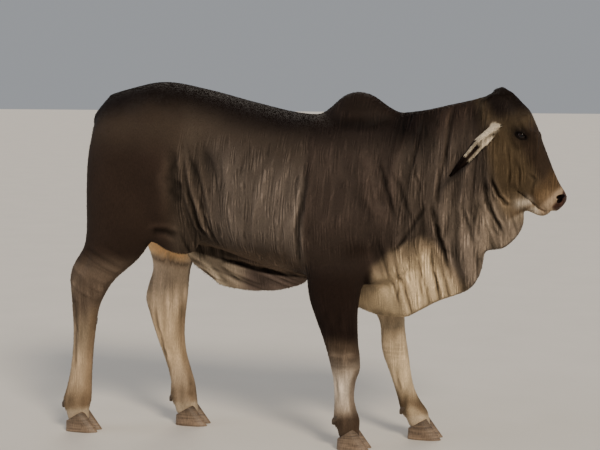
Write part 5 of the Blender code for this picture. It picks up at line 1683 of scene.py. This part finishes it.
# Switch hair: coarse near-black tail hair, glossier than the coat, with fine strands along it.
STRAND_WIDTH = 0.0006
switch_hair, switch_tree, switch_shader = material("coarse_tail_hair", 0.42, Specular_IOR_Level=0.35)
switch_colour = add_node(switch_tree, "ShaderNodeAttribute", {"attribute_name": "coat"})
switch_place = add_node(switch_tree, "ShaderNodeTexCoord")
strand_place = add_node(
    switch_tree,
    "ShaderNodeMapping",
    Vector=switch_place.outputs["Object"],
    Scale=(1 / STRAND_WIDTH, 1 / STRAND_WIDTH, 1 / 0.05),
)
strand = add_node(
    switch_tree, "ShaderNodeTexNoise", Vector=strand_place.outputs["Vector"], Scale=1.0, Detail=2.0
)
strand_shade = add_node(
    switch_tree,
    "ShaderNodeMapRange",
    Value=strand.outputs["Fac"],
    From_Min=0.3,
    From_Max=0.7,
    To_Min=0.6,
    To_Max=1.5,
)
strand_colour = add_node(
    switch_tree,
    "ShaderNodeVectorMath",
    {"operation": "SCALE"},
    _0=switch_colour.outputs["Color"],
    Scale=strand_shade.outputs["Result"],
)
switch_tree.links.new(strand_colour.outputs["Vector"], switch_shader.inputs["Base Color"])
strand_relief = add_node(
    switch_tree, "ShaderNodeBump", Strength=0.5, Distance=0.0004, Height=strand.outputs["Fac"]
)
switch_tree.links.new(strand_relief.outputs["Normal"], switch_shader.inputs["Normal"])
switch.data.materials.append(switch_hair)
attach(switch, "root")
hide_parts("tail_switch")

# The eyes: glass museum eyes, a dark ball with a deep brown iris, a level oval pupil and a clear
# bulging cornea over them, set in the hide's lids.

EYE_LOOKS = (0.16, 1.0, -0.08)
PUPIL = (0.0075, 0.0038)
IRIS_RADIUS = 0.0125
CORNEA_RISE = 0.0010
EYE_SLACK = 0.0004


def eyeball(side):
    """Rings of a ball about the way it looks, swelled by a bell towards the middle of the cornea."""
    polar = np.concatenate([np.linspace(0.02, 0.9, 40), np.linspace(0.95, np.pi - 0.02, 24)])[:, None]
    turn = np.linspace(0, 2 * np.pi, 64, endpoint=False)
    ahead = unit(np.array(EYE_LOOKS) * [1, side, 1])
    level = unit(np.cross(ahead, [0, 0, 1]))
    rise = np.cross(level, ahead)
    radius = EYE_RADIUS - EYE_SLACK + CORNEA_RISE * bell(polar, 0.55)
    p = radius * np.sin(polar) * np.cos(turn)
    q = radius * np.sin(polar) * np.sin(turn)
    forward = radius * np.cos(polar) + 0 * turn
    ball = p[:, :, None] * level + q[:, :, None] * rise + forward[:, :, None] * ahead
    return ball + head_point(*EYE_PLACE, side * EYE_OUT) + FRAME_SHIFT, p, q


# Cast glass, polished but dusty: a weak broad shine, with the colour of the iris and pupil within.
eye_glass, eye_tree, eye_shader = material(
    "glass_eye", 0.24, IOR=1.36, Specular_IOR_Level=0.35, Coat_Weight=0.12, Coat_Roughness=0.05
)
eye_colour = add_node(eye_tree, "ShaderNodeAttribute", {"attribute_name": "coat"})
eye_tree.links.new(eye_colour.outputs["Color"], eye_shader.inputs["Base Color"])
for label, side in SIDES.items():
    ball, p, q = eyeball(side)
    eye = mesh_piece("eye_ball_" + label, *closed_shell(ball))
    p, q = np.append(p.ravel(), [0, 0]), np.append(q.ravel(), [0, 1])
    spoke = 0.5 + 0.5 * noise(np.column_stack([np.arctan2(q, p) * 9, np.hypot(p, q) * 300, 0 * p]), 31)
    iris = linear("1C110A") * (0.7 + 0.9 * spoke[:, None])
    white = np.tile(linear("1E1511"), (len(p), 1))
    inside = ramp(IRIS_RADIUS - np.hypot(p, q), 0, 0.0012)[:, None]
    pupil = ramp(1.12 - np.hypot(p / PUPIL[0], q / PUPIL[1]), 0, 0.2)[:, None]
    tone = white + inside * (iris - white)
    colour_points(eye, tone + pupil * (linear("050506") - tone))
    eye.data.materials.append(eye_glass)
    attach(eye, "root")
    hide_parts("eye_" + label)

# The hooves: two claws of grey-brown horn to a foot, flat soled, their walls ridged by growth and
# leaning back to a coronet that bulges up at the toe, and two blunt dewclaws behind the fetlock.

FEET = {
    # x of the heel and toe, y of the middle
    "right_fore": (0.254, 0.380, -0.130),
    "left_fore": (0.487, 0.620, 0.092),
    "right_hind": (-0.856, -0.722, -0.130),
    "left_hind": (-0.464, -0.330, 0.072),
}
CORONET_HEEL, CORONET_TOE = 0.040, 0.080
CLAW_HALF_WIDTH = 0.0232
CLAW_GAP = 0.006
CLAW_FULL = (2.35, 2.6)
TOE_SLOPE, HEEL_SLOPE = 0.74, 0.06
TOE_PINCH = 0.30
GROWTH_SPACING, GROWTH_DEPTH = 0.0052, 0.00035
DEWCLAW_HEIGHT, DEWCLAW_OUT = 0.108, 0.022
DEWCLAW_PATH = [
    # ahead of the leg's rear edge, and up from the dewclaw's height
    (0.022, 0.012),
    (0.009, 0.003),
    (0.002, -0.014),
]
DEWCLAW_RADII = [0.0115, 0.0108, 0.0050]


def claw_rings(foot, outwards):
    """Superellipse rings that climb from the sole to the coronet's slope, sheared back at the toe."""
    heel, toe, middle = FEET[foot]
    y_middle = middle + outwards * (CLAW_HALF_WIDTH + CLAW_GAP / 2)
    rise = np.array([0.0, 0.0, 0.012, 0.05, *np.linspace(0.09, 1.0, 34)])[:, None]
    inset = np.array([0.004, 0.0016, 0.0004, 0.0, *np.zeros(34)])[:, None]
    turn = np.linspace(0, 2 * np.pi, 48, endpoint=False)
    long_way = squared_off(np.cos(turn), CLAW_FULL[0])
    wide_way = squared_off(np.sin(turn), CLAW_FULL[1])
    x = (heel + toe) / 2 + ((toe - heel) / 2 - inset) * long_way
    forward = (x - heel) / (toe - heel)
    coronet = CORONET_HEEL + (CORONET_TOE - CORONET_HEEL) * (1 - np.clip(1 - forward, 0, 1) ** 1.5)
    z = rise * (coronet + 0.001)
    ridge = GROWTH_DEPTH * np.sin(2 * np.pi * z / GROWTH_SPACING) * ramp(rise, 0.15, 0.3)
    taper = 0.9985 - 0.018 * z / 0.1
    pinch = 1 - TOE_PINCH * ramp(forward, 0.72, 1.02)
    y = y_middle + ((CLAW_HALF_WIDTH - inset) * taper + ridge) * wide_way * pinch
    y -= outwards * 0.0020 * ramp(forward, 0.6, 1.0)
    x = x - TOE_SLOPE * z * forward + HEEL_SLOPE * z * (1 - forward) + (ridge - 0.0004) * long_way
    return np.stack([x, y, z], -1)


def dewclaw_rings(foot, outwards):
    """A short tube that bends down and back, narrowing to a blunt tip."""
    rows = np.array(LEGS[foot])
    rear = smooth_through(np.array([DEWCLAW_HEIGHT]), rows[:, 0], rows[:, 1])[0]
    y = FEET[foot][2] + outwards * DEWCLAW_OUT
    path = [(rear + within, y, DEWCLAW_HEIGHT + up) for within, up in DEWCLAW_PATH]
    return tube(path, DEWCLAW_RADII, 20, 14)


# Hoof horn: dense grey-brown keratin, dull from dust, with growth rings about 5 mm apart and
# fine upright fibres, paler near the sole and darker under the coronet.
FIBRE_WIDTH, FIBRE_LENGTH = 0.0014, 0.02
horn, horn_tree, horn_shader = material("hoof_horn", 0.48, Specular_IOR_Level=0.35)
horn_place = add_node(horn_tree, "ShaderNodeTexCoord")
horn_fibre_place = add_node(
    horn_tree,
    "ShaderNodeMapping",
    Vector=horn_place.outputs["Object"],
    Scale=(1 / FIBRE_WIDTH, 1 / FIBRE_WIDTH, 1 / FIBRE_LENGTH),
)
horn_fibre = add_node(
    horn_tree, "ShaderNodeTexNoise", Vector=horn_fibre_place.outputs["Vector"], Scale=1.0, Detail=3.0
)
horn_ring_place = add_node(
    horn_tree,
    "ShaderNodeMapping",
    Vector=horn_place.outputs["Object"],
    Scale=(12, 12, 1 / GROWTH_SPACING),
)
horn_ring = add_node(
    horn_tree, "ShaderNodeTexNoise", Vector=horn_ring_place.outputs["Vector"], Scale=1.0, Detail=2.0
)
horn_mixed = add_node(
    horn_tree,
    "ShaderNodeMath",
    {"operation": "ADD"},
    _0=horn_fibre.outputs["Fac"],
    _1=horn_ring.outputs["Fac"],
)
horn_tone = add_node(
    horn_tree, "ShaderNodeMapRange", Value=horn_mixed.outputs["Value"], From_Min=0.7, From_Max=1.3
)
horn_colour = add_node(
    horn_tree,
    "ShaderNodeMix",
    {"data_type": "RGBA"},
    Factor=horn_tone.outputs["Result"],
    _6=(*linear("4E4035"), 1),
    _7=(*linear("9A836C"), 1),
)
horn_height = add_node(horn_tree, "ShaderNodeSeparateXYZ", Vector=horn_place.outputs["Object"])
horn_clean = add_node(
    horn_tree,
    "ShaderNodeMapRange",
    Value=horn_height.outputs["Z"],
    From_Min=0.02,
    From_Max=0.09,
    To_Min=1.0,
    To_Max=0.35,
)
horn_shaded = add_node(
    horn_tree,
    "ShaderNodeVectorMath",
    {"operation": "SCALE"},
    _0=horn_colour.outputs[2],
    Scale=horn_clean.outputs["Result"],
)
horn_tree.links.new(horn_shaded.outputs["Vector"], horn_shader.inputs["Base Color"])
horn_relief = add_node(
    horn_tree, "ShaderNodeBump", Strength=0.3, Distance=0.0006, Height=horn_mixed.outputs["Value"]
)
horn_tree.links.new(horn_relief.outputs["Normal"], horn_shader.inputs["Normal"])
for foot in FEET:
    shells = [closed_shell(claw_rings(foot, outwards)) for outwards in (1, -1)]
    shells += [closed_shell(dewclaw_rings(foot, outwards)) for outwards in (1, -1)]
    points, quads, fans = joined(shells)
    hoof = mesh_piece("hoof_" + foot, points + FRAME_SHIFT, quads, fans)
    hoof.data.materials.append(horn)
    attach(hoof, "root")
    horns = [f"{foot}_{kind}_{hand}" for kind in ("claw", "dewclaw") for hand in ("left", "right")]
    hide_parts(*horns)
